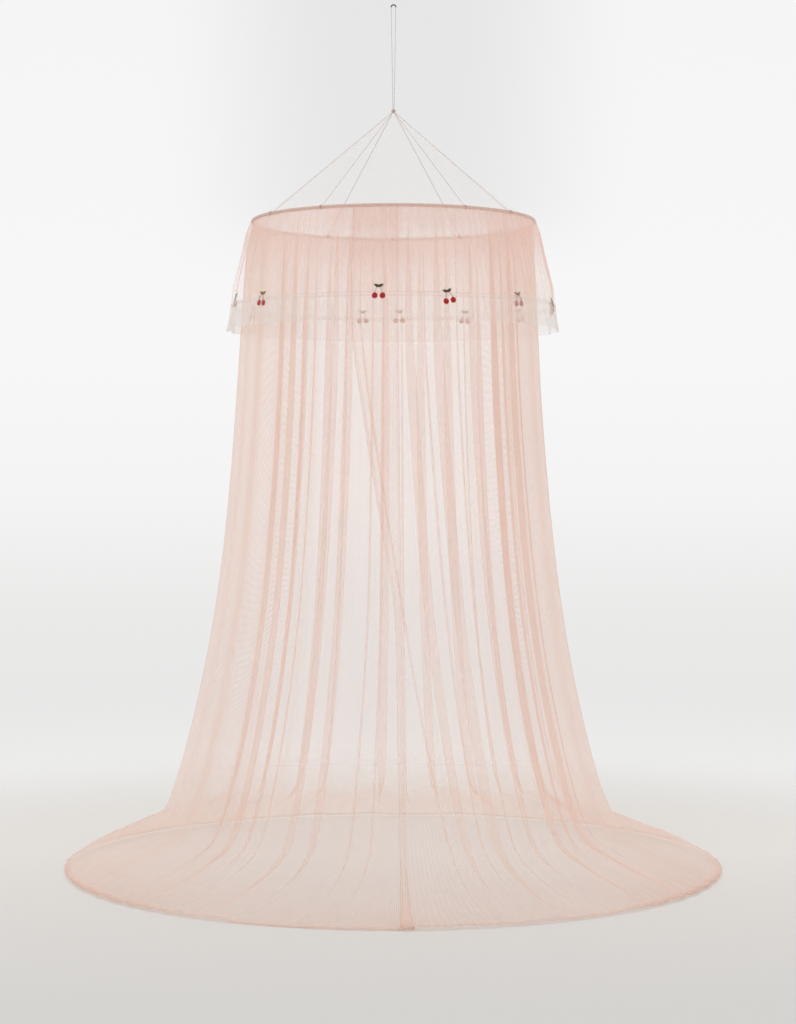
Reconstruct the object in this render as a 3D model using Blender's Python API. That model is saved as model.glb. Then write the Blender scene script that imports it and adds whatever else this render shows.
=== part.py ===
# Mosquito net canopy hung from one loop: a covered hoop carried by six cords,
# a tulle crown, a gathered net that spreads on the floor, and a short valance
# with a pale ruffle and sewn-on cherries.
# Metres, +Z up. The origin is where the ceiling hook bears in the loop.
# The front is -Y. Angles run from the front, positive towards +X.

import math

import bpy
import bmesh
from mathutils import Vector
from mathutils.bvhtree import BVHTree

# ---- sizes of the whole ----
HANG_HEIGHT = 2.600          # hook above the floor
APEX_HEIGHT = 2.280          # knot where the cords meet
HOOP_HEIGHT = 1.942          # hoop's tube centre above the floor
HOOP_RADIUS = 0.425
TUBE_RADIUS = 0.005          # hoop with its covering
CLOTH = 0.0015               # thickness of every sheet
SEAT = 0.0004                # gap between pieces that touch

# ---- loop and cords ----
LOOP_CORD_RADIUS = 0.0012
LOOP_HALF_WIDTH = 0.0070     # strand from the middle at the top bend
LOOP_FOOT_HALF = 0.0018      # strand from the middle at the knot
SLEEVE_OUTER = 0.0022
SLEEVE_INNER = 0.0016
SLEEVE_SIDES = 8
LOOP_BEND_STEPS = 10
KNOT_RADIUS = 0.0066
CORD_RADIUS = 0.0010
CORD_ANGLES = (-57.0, -29.0, 29.0, 53.0, 150.0, -150.0)

# ---- crown ----
CROWN_TOP_SHARE = 0.035      # where the gathered top starts, share of the slope
CROWN_SAG = 0.16             # how far the cloth falls in between cords
CROWN_COLUMNS = 60
CROWN_LEVELS = (0.0, 0.16, 0.38, 0.68, 1.0)

# ---- valance and ruffle ----
SKIRT_COLUMNS = 96
VALANCE_WAVES = 29
VALANCE_SLOW_WAVES = 21
RUFFLE_WAVES = 24
RUFFLE_FAST_WAVES = 31
RUFFLE_PHASE = 0.4
MAIN_WAVE = 0.7              # shares of a skirt's two sets of waves
SECOND_WAVE = 0.3
# (height above floor, radius, wave depth)
VALANCE_ROWS = (
    (1.9420, 0.43115, 0.0000),
    (1.9050, 0.4430, 0.0020),
    (1.8290, 0.4585, 0.0035),
    (1.7400, 0.4805, 0.0045),
    (1.6780, 0.4860, 0.0050),
)
RUFFLE_ROWS = (
    (1.6930, 0.48467, 0.00488),
    (1.6740, 0.48635, 0.00503),
    (1.6120, 0.4955, 0.0088),
)

# ---- net: one row per level ----
# (side height, side radius, front height, front radius,
#  back height, back radius, fold share, pleat share)
NET_LEVELS = (
    (1.9372, 0.4250, 1.9372, 0.4250, 1.9372, 0.4250, 0.00, 0.00),
    (1.8600, 0.4310, 1.8600, 0.4310, 1.8600, 0.4310, 0.65, 0.42),
    (1.7400, 0.4390, 1.7400, 0.4390, 1.7400, 0.4390, 0.80, 0.70),
    (1.5800, 0.4470, 1.5800, 0.4470, 1.5800, 0.4470, 0.90, 0.90),
    (1.4000, 0.4570, 1.4000, 0.4550, 1.4000, 0.4560, 1.00, 1.00),
    (1.2000, 0.4720, 1.2000, 0.4690, 1.2000, 0.4710, 1.00, 1.00),
    (0.9900, 0.4920, 0.9900, 0.4880, 0.9900, 0.4900, 1.00, 1.00),
    (0.8000, 0.5160, 0.8000, 0.5110, 0.8000, 0.5130, 1.05, 1.00),
    (0.6300, 0.5440, 0.6300, 0.5380, 0.6300, 0.5410, 1.10, 1.00),
    (0.4700, 0.5770, 0.4700, 0.5710, 0.4700, 0.5740, 1.15, 1.00),
    (0.3300, 0.6120, 0.3200, 0.6100, 0.3300, 0.6100, 1.20, 1.00),
    (0.2200, 0.6460, 0.2000, 0.6520, 0.2150, 0.6460, 1.20, 0.95),
    (0.1500, 0.6820, 0.1250, 0.6960, 0.1400, 0.6880, 1.10, 0.80),
    (0.1200, 0.7500, 0.0800, 0.7520, 0.1030, 0.7420, 1.00, 0.60),
    (0.0880, 0.8250, 0.0480, 0.8150, 0.0750, 0.8080, 0.90, 0.40),
    (0.0540, 0.9080, 0.0210, 0.8950, 0.0450, 0.8720, 0.55, 0.30),
    (0.0075, 0.9850, 0.0060, 0.9780, 0.0065, 0.9250, 0.15, 0.20),
)
# heights at which the fold table's four angle columns hold
STATIONS = (1.58, 0.80, 0.16, 0.00)

# ---- net: folds of the front, left panel then right panel ----
# (angle at the top, at half height, at the foot, at the hem, kind)
LEFT_FOLDS = (
    (-3.6, -3.8, -5.4, -12.0, "thin"),
    (-7.6, -8.0, -10.5, -17.0, "thin"),
    (-11.0, -12.5, -14.6, -21.5, "line"),
    (-16.4, -17.6, -19.4, -27.0, "wide"),
    (-21.4, -23.4, -25.4, -32.5, "slim"),
    (-31.0, -32.0, -34.2, -38.0, "wide"),
)
RIGHT_FOLDS = (
    (34.0, 35.4, 38.6, 43.0, "slim"),
    (28.6, 30.2, 33.8, 38.2, "wide"),
    (22.6, 26.0, 29.4, 33.6, "thin"),
    (16.2, 21.1, 25.2, 29.0, "wide"),
    (11.0, 16.2, 20.8, 24.6, "thin"),
    (5.6, 11.2, 17.4, 21.4, "wide"),
    (2.2, 8.0, 15.1, 18.8, "line"),
    (-6.0, 5.6, 14.5, 17.2, "line"),
    (-12.0, 3.0, 13.4, 15.6, "thin"),
    (-14.2, 1.7, 7.4, 8.5, "line"),
)
# angle of each panel's own edge at the same four heights
LEFT_EDGE = (2.0, 2.7, 3.1, 3.3)
RIGHT_EDGE = (-15.4, 0.8, 1.5, 1.1)
# pleat kinds: (half base, fold-over, depth, samples)
PLEATS = {
    "wide": (0.020, 0.024, 0.016, (-1.0, -0.5, 0.0, 0.5, 1.0)),
    "slim": (0.014, 0.017, 0.014, (-1.0, -0.5, 0.0, 0.5, 1.0)),
    "thin": (0.008, 0.0, 0.005, (-1.0, 0.0, 1.0)),
    "line": (0.0, 0.0, 0.0, (0.0,)),
}
LAP_TOP = 0.0020             # each panel off the middle of the lap at the hoop
LAP_BELOW = 0.0070           # added lower down, with the fold share
# ---- net: waves of the sides and back ----
BACK_START = -42.0
BACK_END = -313.0
BACK_WAVES = 18
BACK_DEPTH = 0.019
BACK_SAMPLES = 4
BACK_DRIFT = 1.6             # unevenness of the spacing, degrees
BACK_DRIFT_TURNS = 9.0
BACK_SIZE = 0.78             # mean size of the waves, and how much it varies
BACK_SIZE_SWING = 0.22
BACK_SIZE_TURNS = 17.0
BACK_SET_IN = 0.25           # waves sit a little inside the wall's line
FLOOR_CLEAR = 0.001

# ---- cherries ----
# (angle, height of the stems' joint above the floor, tilt in degrees)
CHERRIES = (
    (-72.0, 1.699, 0.0), (-50.5, 1.690, -4.0), (-4.8, 1.697, 0.0),
    (18.2, 1.683, 12.0), (47.4, 1.687, 3.0), (74.3, 1.687, -5.0),
    (100.0, 1.691, 4.0), (126.0, 1.686, -6.0), (152.0, 1.693, 5.0),
    (178.0, 1.699, 0.0), (-168.0, 1.697, -3.0), (-116.0, 1.688, 6.0),
)
BERRY_RADIUS = 0.0082
BERRY_SIDES = 10
BERRY_RINGS = ((0.0, 1.0), (0.45, 0.96), (0.85, 0.68))
BERRY_DEPTH = 0.0032
BERRY_SPREAD = 0.0110        # berry centre from the middle
BERRY_DROP = -0.0260         # berry centre below the stems' joint
STEM_HALF = 0.0008
STEM_SIDE = 0.0006           # stem's top from the middle
STEM_TOP = 0.0010
STEM_BACK = 0.0002           # stem's back above the motif's back
STEM_THICK = 0.0010
STEM_STEP = 0.0001           # one stem a little thicker than the other
LEAF_LENGTH = 0.0165
LEAF_HALF = 0.0046
LEAF_THICK = 0.0014
LEAF_SIDE = 0.0012           # leaf's root from the middle
LEAF_ROOT = -0.0004
LEAF_BACK = 0.0003           # leaf's back above the motif's back
LEAF_STEP = 0.0002           # one leaf lies on the other
LEAF_HEADING = 24.0          # above level, degrees
LEAF_SHAPE = ((0.0, 0.35), (0.30, 1.0), (0.68, 0.8), (1.0, 0.0),
              (0.68, -0.8), (0.30, -1.0), (0.0, -0.35))
WELD = 0.00002
RUFFLE_LEAN = 0.148         # how far the ruffle runs out for its drop
PROBE_STEP = 0.001           # grid on which the motif's back finds the ruffle
PROBE_SPAN = 18
PROBE_REACH = 0.2


def clear_scene():
    for item in list(bpy.data.objects):
        bpy.data.objects.remove(item, do_unlink=True)


def material(name, color, rough, metal=0.0):
    mat = bpy.data.materials.new(name)
    mat.use_nodes = True
    shader = mat.node_tree.nodes["Principled BSDF"]
    shader.inputs["Base Color"].default_value = (color[0], color[1], color[2], 1.0)
    shader.inputs["Roughness"].default_value = rough
    shader.inputs["Metallic"].default_value = metal
    return mat


def finish(name, bm, mat, crease=40.0):
    bmesh.ops.recalc_face_normals(bm, faces=bm.faces)
    if bm.calc_volume(signed=True) < 0.0:
        bmesh.ops.reverse_faces(bm, faces=bm.faces)
    mesh = bpy.data.meshes.new(name)
    bm.to_mesh(mesh)
    bm.free()
    obj = bpy.data.objects.new(name, mesh)
    bpy.context.scene.collection.objects.link(obj)
    mesh.materials.append(mat)
    mesh.shade_smooth()
    mesh.set_sharp_from_angle(angle=math.radians(crease))
    return obj


def place(angle, radius, height):
    """Point at an angle in degrees, a radius and a height above the floor."""
    a = math.radians(angle)
    return Vector((radius * math.sin(a), -radius * math.cos(a),
                   height - HANG_HEIGHT))


def grid_normals(grid, wrap):
    rows = len(grid)
    cols = len(grid[0])
    out = []
    for i in range(rows):
        line = []
        for j in range(cols):
            up = grid[max(i - 1, 0)][j]
            down = grid[min(i + 1, rows - 1)][j]
            if wrap:
                left = grid[i][(j - 1) % cols]
                right = grid[i][(j + 1) % cols]
            else:
                left = grid[i][max(j - 1, 0)]
                right = grid[i][min(j + 1, cols - 1)]
            here = grid[i][j]
            along = (here - left).normalized() + (right - here).normalized()
            line.append(along.cross(down - up).normalized())
        out.append(line)
    return out


def sheet(name, grid, mat, wrap, thick=CLOTH):
    """Closed sheet of even thickness on a grid of points, top row first."""
    rows = len(grid)
    cols = len(grid[0])
    normals = grid_normals(grid, wrap)
    bm = bmesh.new()
    faces = []
    for side in (0.5, -0.5):
        skin = []
        for i in range(rows):
            skin.append([bm.verts.new(grid[i][j] + normals[i][j] * thick * side)
                         for j in range(cols)])
        faces.append(skin)
    front, back = faces
    spans = cols if wrap else cols - 1
    for i in range(rows - 1):
        for j in range(spans):
            k = (j + 1) % cols
            bm.faces.new((front[i][j], front[i][k], front[i + 1][k], front[i + 1][j]))
            bm.faces.new((back[i][j], back[i + 1][j], back[i + 1][k], back[i][k]))
    for i in (0, rows - 1):
        for j in range(spans):
            k = (j + 1) % cols
            bm.faces.new((front[i][j], back[i][j], back[i][k], front[i][k]))
    if not wrap:
        for j in (0, cols - 1):
            for i in range(rows - 1):
                bm.faces.new((front[i][j], front[i + 1][j],
                              back[i + 1][j], back[i][j]))
    return finish(name, bm, mat)


def tube(name, path, radius, mat):
    """Round cord along a path of points, with flat ends."""
    curve = bpy.data.curves.new(name, "CURVE")
    curve.dimensions = "3D"
    curve.bevel_depth = radius
    curve.bevel_resolution = 2
    curve.use_fill_caps = True
    spline = curve.splines.new("POLY")
    spline.points.add(len(path) - 1)
    for point, spot in zip(spline.points, path):
        point.co = (spot[0], spot[1], spot[2], 1.0)
    draft = bpy.data.objects.new(name + "_path", curve)
    bpy.context.scene.collection.objects.link(draft)
    shape = draft.evaluated_get(bpy.context.evaluated_depsgraph_get())
    mesh = bpy.data.meshes.new_from_object(shape)
    bm = bmesh.new()
    bm.from_mesh(mesh)
    bmesh.ops.remove_doubles(bm, verts=bm.verts, dist=0.5 * WELD)
    bpy.data.objects.remove(draft, do_unlink=True)
    return finish(name, bm, mat)


def ring(name, radius, height, tube_radius, mat, around=SKIRT_COLUMNS, sides=6):
    """Round hoop; its flats lie level and upright where pieces seat on it."""
    bm = bmesh.new()
    rings = []
    for j in range(around):
        angle = 360.0 * j / around
        loop = []
        for s in range(sides):
            a = 2.0 * math.pi * (s + 0.5) / sides
            loop.append(bm.verts.new(place(angle, radius + tube_radius * math.sin(a),
                                           height + tube_radius * math.cos(a))))
        rings.append(loop)
    for j in range(around):
        k = (j + 1) % around
        for s in range(sides):
            t = (s + 1) % sides
            bm.faces.new((rings[j][s], rings[k][s], rings[k][t], rings[j][t]))
    return finish(name, bm, mat, 70.0)


# ---------------------------------------------------------------- loop and cords

def loop_path():
    """The hanging cord: up one strand, over the bend and down the other."""
    bend = LOOP_HALF_WIDTH
    bearing = SLEEVE_OUTER
    middle = bearing - bend
    foot = APEX_HEIGHT - HANG_HEIGHT + KNOT_RADIUS + SEAT
    path = [(-LOOP_FOOT_HALF, 0.0, foot)]
    for i in range(LOOP_BEND_STEPS + 1):
        a = math.pi * i / LOOP_BEND_STEPS
        path.append((-bend * math.cos(a), 0.0, middle + bend * math.sin(a)))
    path.append((LOOP_FOOT_HALF, 0.0, foot))
    return path


def loop_sleeve(mat):
    """Short grey sleeve round the cord on the bend."""
    bend = LOOP_HALF_WIDTH
    middle = SLEEVE_OUTER - bend
    sides = SLEEVE_SIDES
    bm = bmesh.new()
    rings = []
    for i in range(LOOP_BEND_STEPS + 1):
        a = math.pi * i / LOOP_BEND_STEPS
        out = Vector((-math.cos(a), 0.0, math.sin(a)))
        core = Vector((0.0, 0.0, middle)) + out * bend
        pair = []
        for size in (SLEEVE_OUTER, SLEEVE_INNER):
            pair.append([bm.verts.new(core + out * size * math.cos(2 * math.pi * s / sides)
                                      + Vector((0.0, 1.0, 0.0)) * size
                                      * math.sin(2 * math.pi * s / sides))
                         for s in range(sides)])
        rings.append(pair)
    for i in range(LOOP_BEND_STEPS):
        for skin in (0, 1):
            for s in range(sides):
                t = (s + 1) % sides
                bm.faces.new((rings[i][skin][s], rings[i][skin][t],
                              rings[i + 1][skin][t], rings[i + 1][skin][s]))
    for i in (0, LOOP_BEND_STEPS):
        for s in range(sides):
            t = (s + 1) % sides
            bm.faces.new((rings[i][0][s], rings[i][0][t], rings[i][1][t], rings[i][1][s]))
    return finish("loop_sleeve", bm, mat)


def knot(mat):
    """The bound knot where the loop and the six cords meet."""
    bm = bmesh.new()
    bmesh.ops.create_uvsphere(bm, u_segments=12, v_segments=8, radius=KNOT_RADIUS)
    for vert in bm.verts:
        vert.co.z += APEX_HEIGHT - HANG_HEIGHT
    return finish("apex_knot", bm, mat)


def slope_point(angle, distance, below=0.0):
    """Point on the cord's line, measured from the knot, moved in below it."""
    drop = APEX_HEIGHT - HOOP_HEIGHT
    length = math.hypot(HOOP_RADIUS, drop)
    out = HOOP_RADIUS / length
    down = drop / length
    return place(angle, distance * out - below * down,
                 APEX_HEIGHT - distance * down - below * out)


def cord(number, angle, mat):
    length = math.hypot(HOOP_RADIUS, APEX_HEIGHT - HOOP_HEIGHT)
    start = KNOT_RADIUS + SEAT
    stop = length - TUBE_RADIUS - SEAT
    path = [slope_point(angle, start), slope_point(angle, stop)]
    return tube("suspension_cord_%d" % number, path, CORD_RADIUS, mat)


# ---------------------------------------------------------------- crown

def cord_gap(angle):
    """0 on a cord, 1 halfway to the next one; the share grows with the span."""
    spots = sorted(a % 360.0 for a in CORD_ANGLES)
    here = angle % 360.0
    for i, low in enumerate(spots):
        high = spots[(i + 1) % len(spots)]
        if high <= low:
            high += 360.0
        for turn in (here, here + 360.0):
            if low <= turn <= high:
                share = (turn - low) / (high - low)
                span = math.sin(math.radians(0.5 * (high - low)))
                return math.sin(math.pi * share) * span
    return 0.0


def crown(mat):
    length = math.hypot(HOOP_RADIUS, APEX_HEIGHT - HOOP_HEIGHT)
    lean = CORD_RADIUS + SEAT + 0.5 * CLOTH
    first = length * CROWN_TOP_SHARE
    last = length - TUBE_RADIUS - 2.0 * SEAT
    grid = []
    for share in CROWN_LEVELS:
        line = []
        for j in range(CROWN_COLUMNS):
            angle = 360.0 * j / CROWN_COLUMNS
            distance = first + (last - first) * share
            sag = CROWN_SAG * cord_gap(angle) * 4.0 * share * (1.0 - share)
            point = slope_point(angle, distance, lean)
            point.x *= 1.0 - sag
            point.y *= 1.0 - sag
            line.append(point)
        grid.append(line)
    return sheet("crown", grid, mat, True)


# ---------------------------------------------------------------- valance and ruffle

def valance_wave(angle):
    a = math.radians(angle)
    return (MAIN_WAVE * math.sin(VALANCE_WAVES * a)
            + SECOND_WAVE * math.sin(VALANCE_SLOW_WAVES * a + 1.0))


def ruffle_wave(angle, level):
    a = math.radians(angle)
    own = (MAIN_WAVE * math.sin(RUFFLE_WAVES * a + RUFFLE_PHASE)
           + SECOND_WAVE * math.sin(RUFFLE_FAST_WAVES * a))
    return valance_wave(angle) * (1.0 - level) + own * level


def valance(mat):
    grid = []
    for height, radius, depth in VALANCE_ROWS:
        grid.append([place(360.0 * j / SKIRT_COLUMNS,
                           radius + depth * valance_wave(360.0 * j / SKIRT_COLUMNS),
                           height) for j in range(SKIRT_COLUMNS)])
    return sheet("valance", grid, mat, True)


def ruffle_point(angle, row):
    height, radius, depth = RUFFLE_ROWS[row]
    level = 1.0 if row == len(RUFFLE_ROWS) - 1 else 0.0
    return place(angle, radius + CLOTH + SEAT + depth * ruffle_wave(angle, level), height)


def ruffle(mat):
    grid = []
    for row in range(len(RUFFLE_ROWS)):
        grid.append([ruffle_point(360.0 * j / SKIRT_COLUMNS, row)
                     for j in range(SKIRT_COLUMNS)])
    return sheet("ruffle", grid, mat, True)


# ---------------------------------------------------------------- net

def at_height(values, height):
    """Value of a four-column fold entry at a height above the floor."""
    if height >= STATIONS[0]:
        return values[0]
    for i in range(3):
        if height >= STATIONS[i + 1]:
            share = (STATIONS[i] - height) / (STATIONS[i] - STATIONS[i + 1])
            return values[i] + (values[i + 1] - values[i]) * share
    return values[3]


def pleat_columns(entry, turn, start, stop, laps):
    """Columns of one pleat: angles, sideways shift, fold-over, depth and lap."""
    half, over, rise, samples = PLEATS[entry[4]]
    out = []
    angles = tuple(a + turn for a in entry[:4])
    for t in samples:
        share = 0.5 * (t + 1.0)
        depth = start + (stop - start) * share
        if entry[4] == "thin" and t == 0.0:
            depth += rise
        lap = laps[0] + (laps[1] - laps[0]) * share
        out.append((angles, -t * half, over * math.sin(math.pi * t), depth, lap))
    return out


def panel_columns(folds, turn, first_lap, last_lap, lapped):
    """Columns of one front panel; lapped says which folds lie in the lap."""
    columns = []
    depth = -0.5 * PLEATS["wide"][2]
    lap = first_lap
    for place_in_row, entry in enumerate(folds):
        after = last_lap if place_in_row == lapped else lap
        target = depth
        if entry[4] in ("wide", "slim"):
            swing = PLEATS[entry[4]][2]
            target = depth + swing if depth < 0.0 else depth - swing
        columns += pleat_columns(entry, turn, depth, target, (lap, after))
        depth = target
        lap = after
    return columns


def net_columns():
    """Every column of the net, from the left panel's edge round the back."""
    columns = [(LEFT_EDGE, 0.0, 0.0, 0.0, -1.0)]
    columns += panel_columns(LEFT_FOLDS, 0.0, -1.0, 0.0, 3)
    total = BACK_WAVES * BACK_SAMPLES
    for i in range(1, total):
        share = i / total
        angle = BACK_START + (BACK_END - BACK_START) * share
        drift = math.sin(BACK_DRIFT_TURNS * math.pi * share) * math.sin(math.pi * share)
        angle += BACK_DRIFT * drift
        size = BACK_SIZE + BACK_SIZE_SWING * math.sin(BACK_SIZE_TURNS * share + 1.0)
        wave = math.cos(2.0 * math.pi * i / BACK_SAMPLES)
        lift = BACK_DEPTH * size * (wave - BACK_SET_IN)
        columns.append(((angle, angle, angle, angle), 0.0, 0.0, lift, 0.0))
    columns += panel_columns(RIGHT_FOLDS, -360.0, 0.0, 1.0, 6)
    edge = tuple(a - 360.0 for a in RIGHT_EDGE)
    columns.append((edge, 0.0, 0.0, 0.0, 1.0))
    return columns


def net_level(angle, row):
    """Height, radius and outward slope of the plain net at an angle."""
    a = math.radians(angle)
    front = max(math.cos(a), 0.0) ** 2
    back = max(-math.cos(a), 0.0) ** 2
    side = math.sin(a) ** 2

    def mix(r, c):
        level = NET_LEVELS[r]
        return side * level[c] + front * level[2 + c] + back * level[4 + c]

    above = max(row - 1, 0)
    below = min(row + 1, len(NET_LEVELS) - 1)
    drop = mix(above, 0) - mix(below, 0)
    out = mix(below, 1) - mix(above, 1)
    size = math.hypot(drop, out)
    return mix(row, 0), mix(row, 1), drop / size, out / size


def net(mat):
    columns = net_columns()
    grid = []
    for row, level in enumerate(NET_LEVELS):
        fold_share = level[6]
        pleat_share = level[7]
        line = []
        for angles, shift, over, depth, lap in columns:
            base = at_height(angles, level[0])
            height, radius, outward, upward = net_level(base, row)
            side = shift + over * pleat_share
            angle = base + math.degrees(side / radius)
            lift = depth * fold_share + lap * (LAP_TOP + LAP_BELOW * fold_share)
            height = max(height + lift * upward, 0.5 * CLOTH + FLOOR_CLEAR)
            line.append(place(angle, radius + lift * outward, height))
        grid.append(line)
    return sheet("net", grid, mat, False)


# ---------------------------------------------------------------- cherries

def box_between(bm, start, end, half, base, thick):
    """Flat bar from one point to another in the motif's own plane."""
    along = (end - start).normalized()
    across = Vector((-along.y, along.x, 0.0)) * half
    corners = [start + across, start - across, end - across, end + across]
    low = [bm.verts.new((c.x, c.y, base)) for c in corners]
    high = [bm.verts.new((c.x, c.y, base + thick)) for c in corners]
    bm.faces.new(low)
    bm.faces.new(high)
    for i in range(4):
        j = (i + 1) % 4
        bm.faces.new((low[i], low[j], high[j], high[i]))


def leaf(bm, root, heading, base):
    """Pointed leaf, a flat seven-sided slip."""
    c = math.cos(heading)
    s = math.sin(heading)
    low = []
    high = []
    for along, across in LEAF_SHAPE:
        u = along * LEAF_LENGTH
        v = across * LEAF_HALF
        x = root.x + u * c - v * s
        y = root.y + u * s + v * c
        low.append(bm.verts.new((x, y, base)))
        high.append(bm.verts.new((x, y, base + LEAF_THICK)))
    bm.faces.new(low)
    bm.faces.new(high)
    for i in range(len(LEAF_SHAPE)):
        j = (i + 1) % len(LEAF_SHAPE)
        bm.faces.new((low[i], low[j], high[j], high[i]))


def berry(bm, x, y):
    """Round flat-backed berry, domed to the front."""
    loops = []
    for rise, size in BERRY_RINGS:
        loop = []
        for i in range(BERRY_SIDES):
            a = 2.0 * math.pi * i / BERRY_SIDES
            loop.append(bm.verts.new((x + BERRY_RADIUS * size * math.cos(a),
                                      y + BERRY_RADIUS * size * math.sin(a),
                                      BERRY_DEPTH * rise)))
        loops.append(loop)
    top = bm.verts.new((x, y, BERRY_DEPTH))
    bm.faces.new(loops[0])
    for inner, outer in zip(loops, loops[1:]):
        for i in range(BERRY_SIDES):
            j = (i + 1) % BERRY_SIDES
            bm.faces.new((inner[i], inner[j], outer[j], outer[i]))
    for i in range(BERRY_SIDES):
        bm.faces.new((loops[-1][i], loops[-1][(i + 1) % BERRY_SIDES], top))


def shell(name, bm):
    bmesh.ops.recalc_face_normals(bm, faces=bm.faces)
    mesh = bpy.data.meshes.new(name)
    bm.to_mesh(mesh)
    bm.free()
    obj = bpy.data.objects.new(name, mesh)
    bpy.context.scene.collection.objects.link(obj)
    return obj


def motif():
    """One cherry pair: two berries, two stems and two leaves joined."""
    pieces = []
    for sign in (-1.0, 1.0):
        spot = Vector((sign * BERRY_SPREAD, BERRY_DROP, 0.0))
        bm = bmesh.new()
        berry(bm, spot.x, spot.y)
        pieces.append(shell("berry", bm))
        bm = bmesh.new()
        box_between(bm, Vector((sign * STEM_SIDE, STEM_TOP, 0.0)), spot, STEM_HALF,
                    STEM_BACK, STEM_THICK + STEM_STEP * sign)
        pieces.append(shell("stem", bm))
        bm = bmesh.new()
        heading = math.radians(90.0 - sign * (90.0 - LEAF_HEADING))
        leaf(bm, Vector((-sign * LEAF_SIDE, LEAF_ROOT, 0.0)), heading,
             LEAF_BACK + LEAF_STEP * sign)
        pieces.append(shell("leaf", bm))
    body = pieces[0]
    for other in pieces[1:]:
        join = body.modifiers.new("join", "BOOLEAN")
        join.operation = "UNION"
        join.solver = "EXACT"
        join.object = other
        shape = body.evaluated_get(bpy.context.evaluated_depsgraph_get())
        mesh = bpy.data.meshes.new_from_object(shape)
        body.modifiers.clear()
        body.data = mesh
        bpy.data.objects.remove(other, do_unlink=True)
    out = bmesh.new()
    out.from_mesh(body.data)
    bmesh.ops.remove_doubles(out, verts=out.verts, dist=WELD)
    bmesh.ops.dissolve_limit(out, angle_limit=0.01, verts=out.verts, edges=out.edges)
    bmesh.ops.triangulate(out, faces=out.faces)
    bpy.data.objects.remove(body, do_unlink=True)
    return out


def cherry(number, angle, height, tilt, shape, backing, mat):
    """Stand one motif against the ruffle, its back just touching a wave."""
    a = math.radians(angle)
    level = Vector((math.cos(a), math.sin(a), 0.0))
    out = Vector((math.sin(a), -math.cos(a), 0.0))
    rise = (Vector((0.0, 0.0, 1.0)) - out * RUFFLE_LEAN).normalized()
    front = level.cross(rise)
    lean = math.radians(tilt)
    right = level * math.cos(lean) + rise * math.sin(lean)
    up = front.cross(right)
    origin = out * HOOP_RADIUS + Vector((0.0, 0.0, height - HANG_HEIGHT))
    outline = BVHTree.FromBMesh(shape)
    reach = 0.0
    for i in range(-PROBE_SPAN, PROBE_SPAN + 1):
        for j in range(-2 * PROBE_SPAN, PROBE_SPAN + 1):
            x = i * PROBE_STEP
            y = j * PROBE_STEP
            over = outline.ray_cast(Vector((x, y, PROBE_REACH)), Vector((0.0, 0.0, -1.0)))
            if over[0] is None:
                continue
            spot = origin + right * x + up * y + front * PROBE_REACH
            hit = backing.ray_cast(spot, -front)
            if hit[0] is not None:
                reach = max(reach, PROBE_REACH - hit[3])
    origin += front * (reach + SEAT)
    bm = shape.copy()
    for vert in bm.verts:
        x, y, z = vert.co
        vert.co = origin + right * x + up * y + front * z
    return finish("cherry_%02d" % number, bm, mat)


def build():
    clear_scene()
    grey = material("loop_grey", (0.17, 0.17, 0.165), 0.45, 0.3)
    twine = material("cord_white", (0.62, 0.60, 0.58), 0.8)
    tube("hanging_loop", loop_path(), LOOP_CORD_RADIUS, twine)
    loop_sleeve(grey)
    knot(material("knot_pink", (0.55, 0.42, 0.38), 0.85))
    for number, angle in enumerate(CORD_ANGLES, start=1):
        shade = material("cord_%d" % number, (0.62, 0.50, 0.46), 0.8)
        cord(number, angle, shade)
    ring("hoop", HOOP_RADIUS, HOOP_HEIGHT, TUBE_RADIUS,
         material("casing", (0.62, 0.42, 0.36), 0.85))
    crown(material("crown_tulle", (0.85, 0.72, 0.68), 0.9))
    net(material("net_tulle", (0.85, 0.66, 0.60), 0.9))
    valance(material("valance_tulle", (0.84, 0.64, 0.58), 0.9))
    band = ruffle(material("ruffle_tulle", (0.86, 0.78, 0.74), 0.9))
    band_shape = bmesh.new()
    band_shape.from_mesh(band.data)
    backing = BVHTree.FromBMesh(band_shape)
    band_shape.free()
    shape = motif()
    for number, (angle, height, tilt) in enumerate(CHERRIES, start=1):
        thread = material("cherry_%02d" % number, (0.24, 0.02, 0.02), 0.5)
        cherry(number, angle, height, tilt, shape, backing, thread)
    shape.free()


build()
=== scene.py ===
import math

import bmesh
import bpy
import numpy as np
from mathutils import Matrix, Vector


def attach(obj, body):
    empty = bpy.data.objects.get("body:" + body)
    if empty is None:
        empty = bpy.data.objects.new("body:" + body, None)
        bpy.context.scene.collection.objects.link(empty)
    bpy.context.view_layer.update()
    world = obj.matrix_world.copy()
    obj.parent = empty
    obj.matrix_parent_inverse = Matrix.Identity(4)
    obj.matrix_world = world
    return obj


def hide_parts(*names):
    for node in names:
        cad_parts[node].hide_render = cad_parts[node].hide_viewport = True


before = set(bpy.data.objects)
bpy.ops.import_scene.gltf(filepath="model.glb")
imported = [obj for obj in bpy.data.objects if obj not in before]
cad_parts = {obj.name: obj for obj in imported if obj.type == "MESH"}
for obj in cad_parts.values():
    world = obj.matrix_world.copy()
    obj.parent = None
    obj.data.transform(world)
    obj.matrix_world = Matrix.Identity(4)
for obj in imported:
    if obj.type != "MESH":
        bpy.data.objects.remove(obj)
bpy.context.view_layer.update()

# ---- Camera, floor and light ----
# A level camera in front of the opening, a pale floor with painted shade that darkens it
# towards the front, melting into a pale surround, and soft light from all sides.
hook_height = 2.600
eye_height = 1.162
eye_distance = 6.518
eye_right = 0.0136
lens_mm = 75.6
horizon_shift = -0.03125


def new_object(name, content):
    made = bpy.data.objects.new(name, content)
    bpy.context.scene.collection.objects.link(made)
    return made


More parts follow.
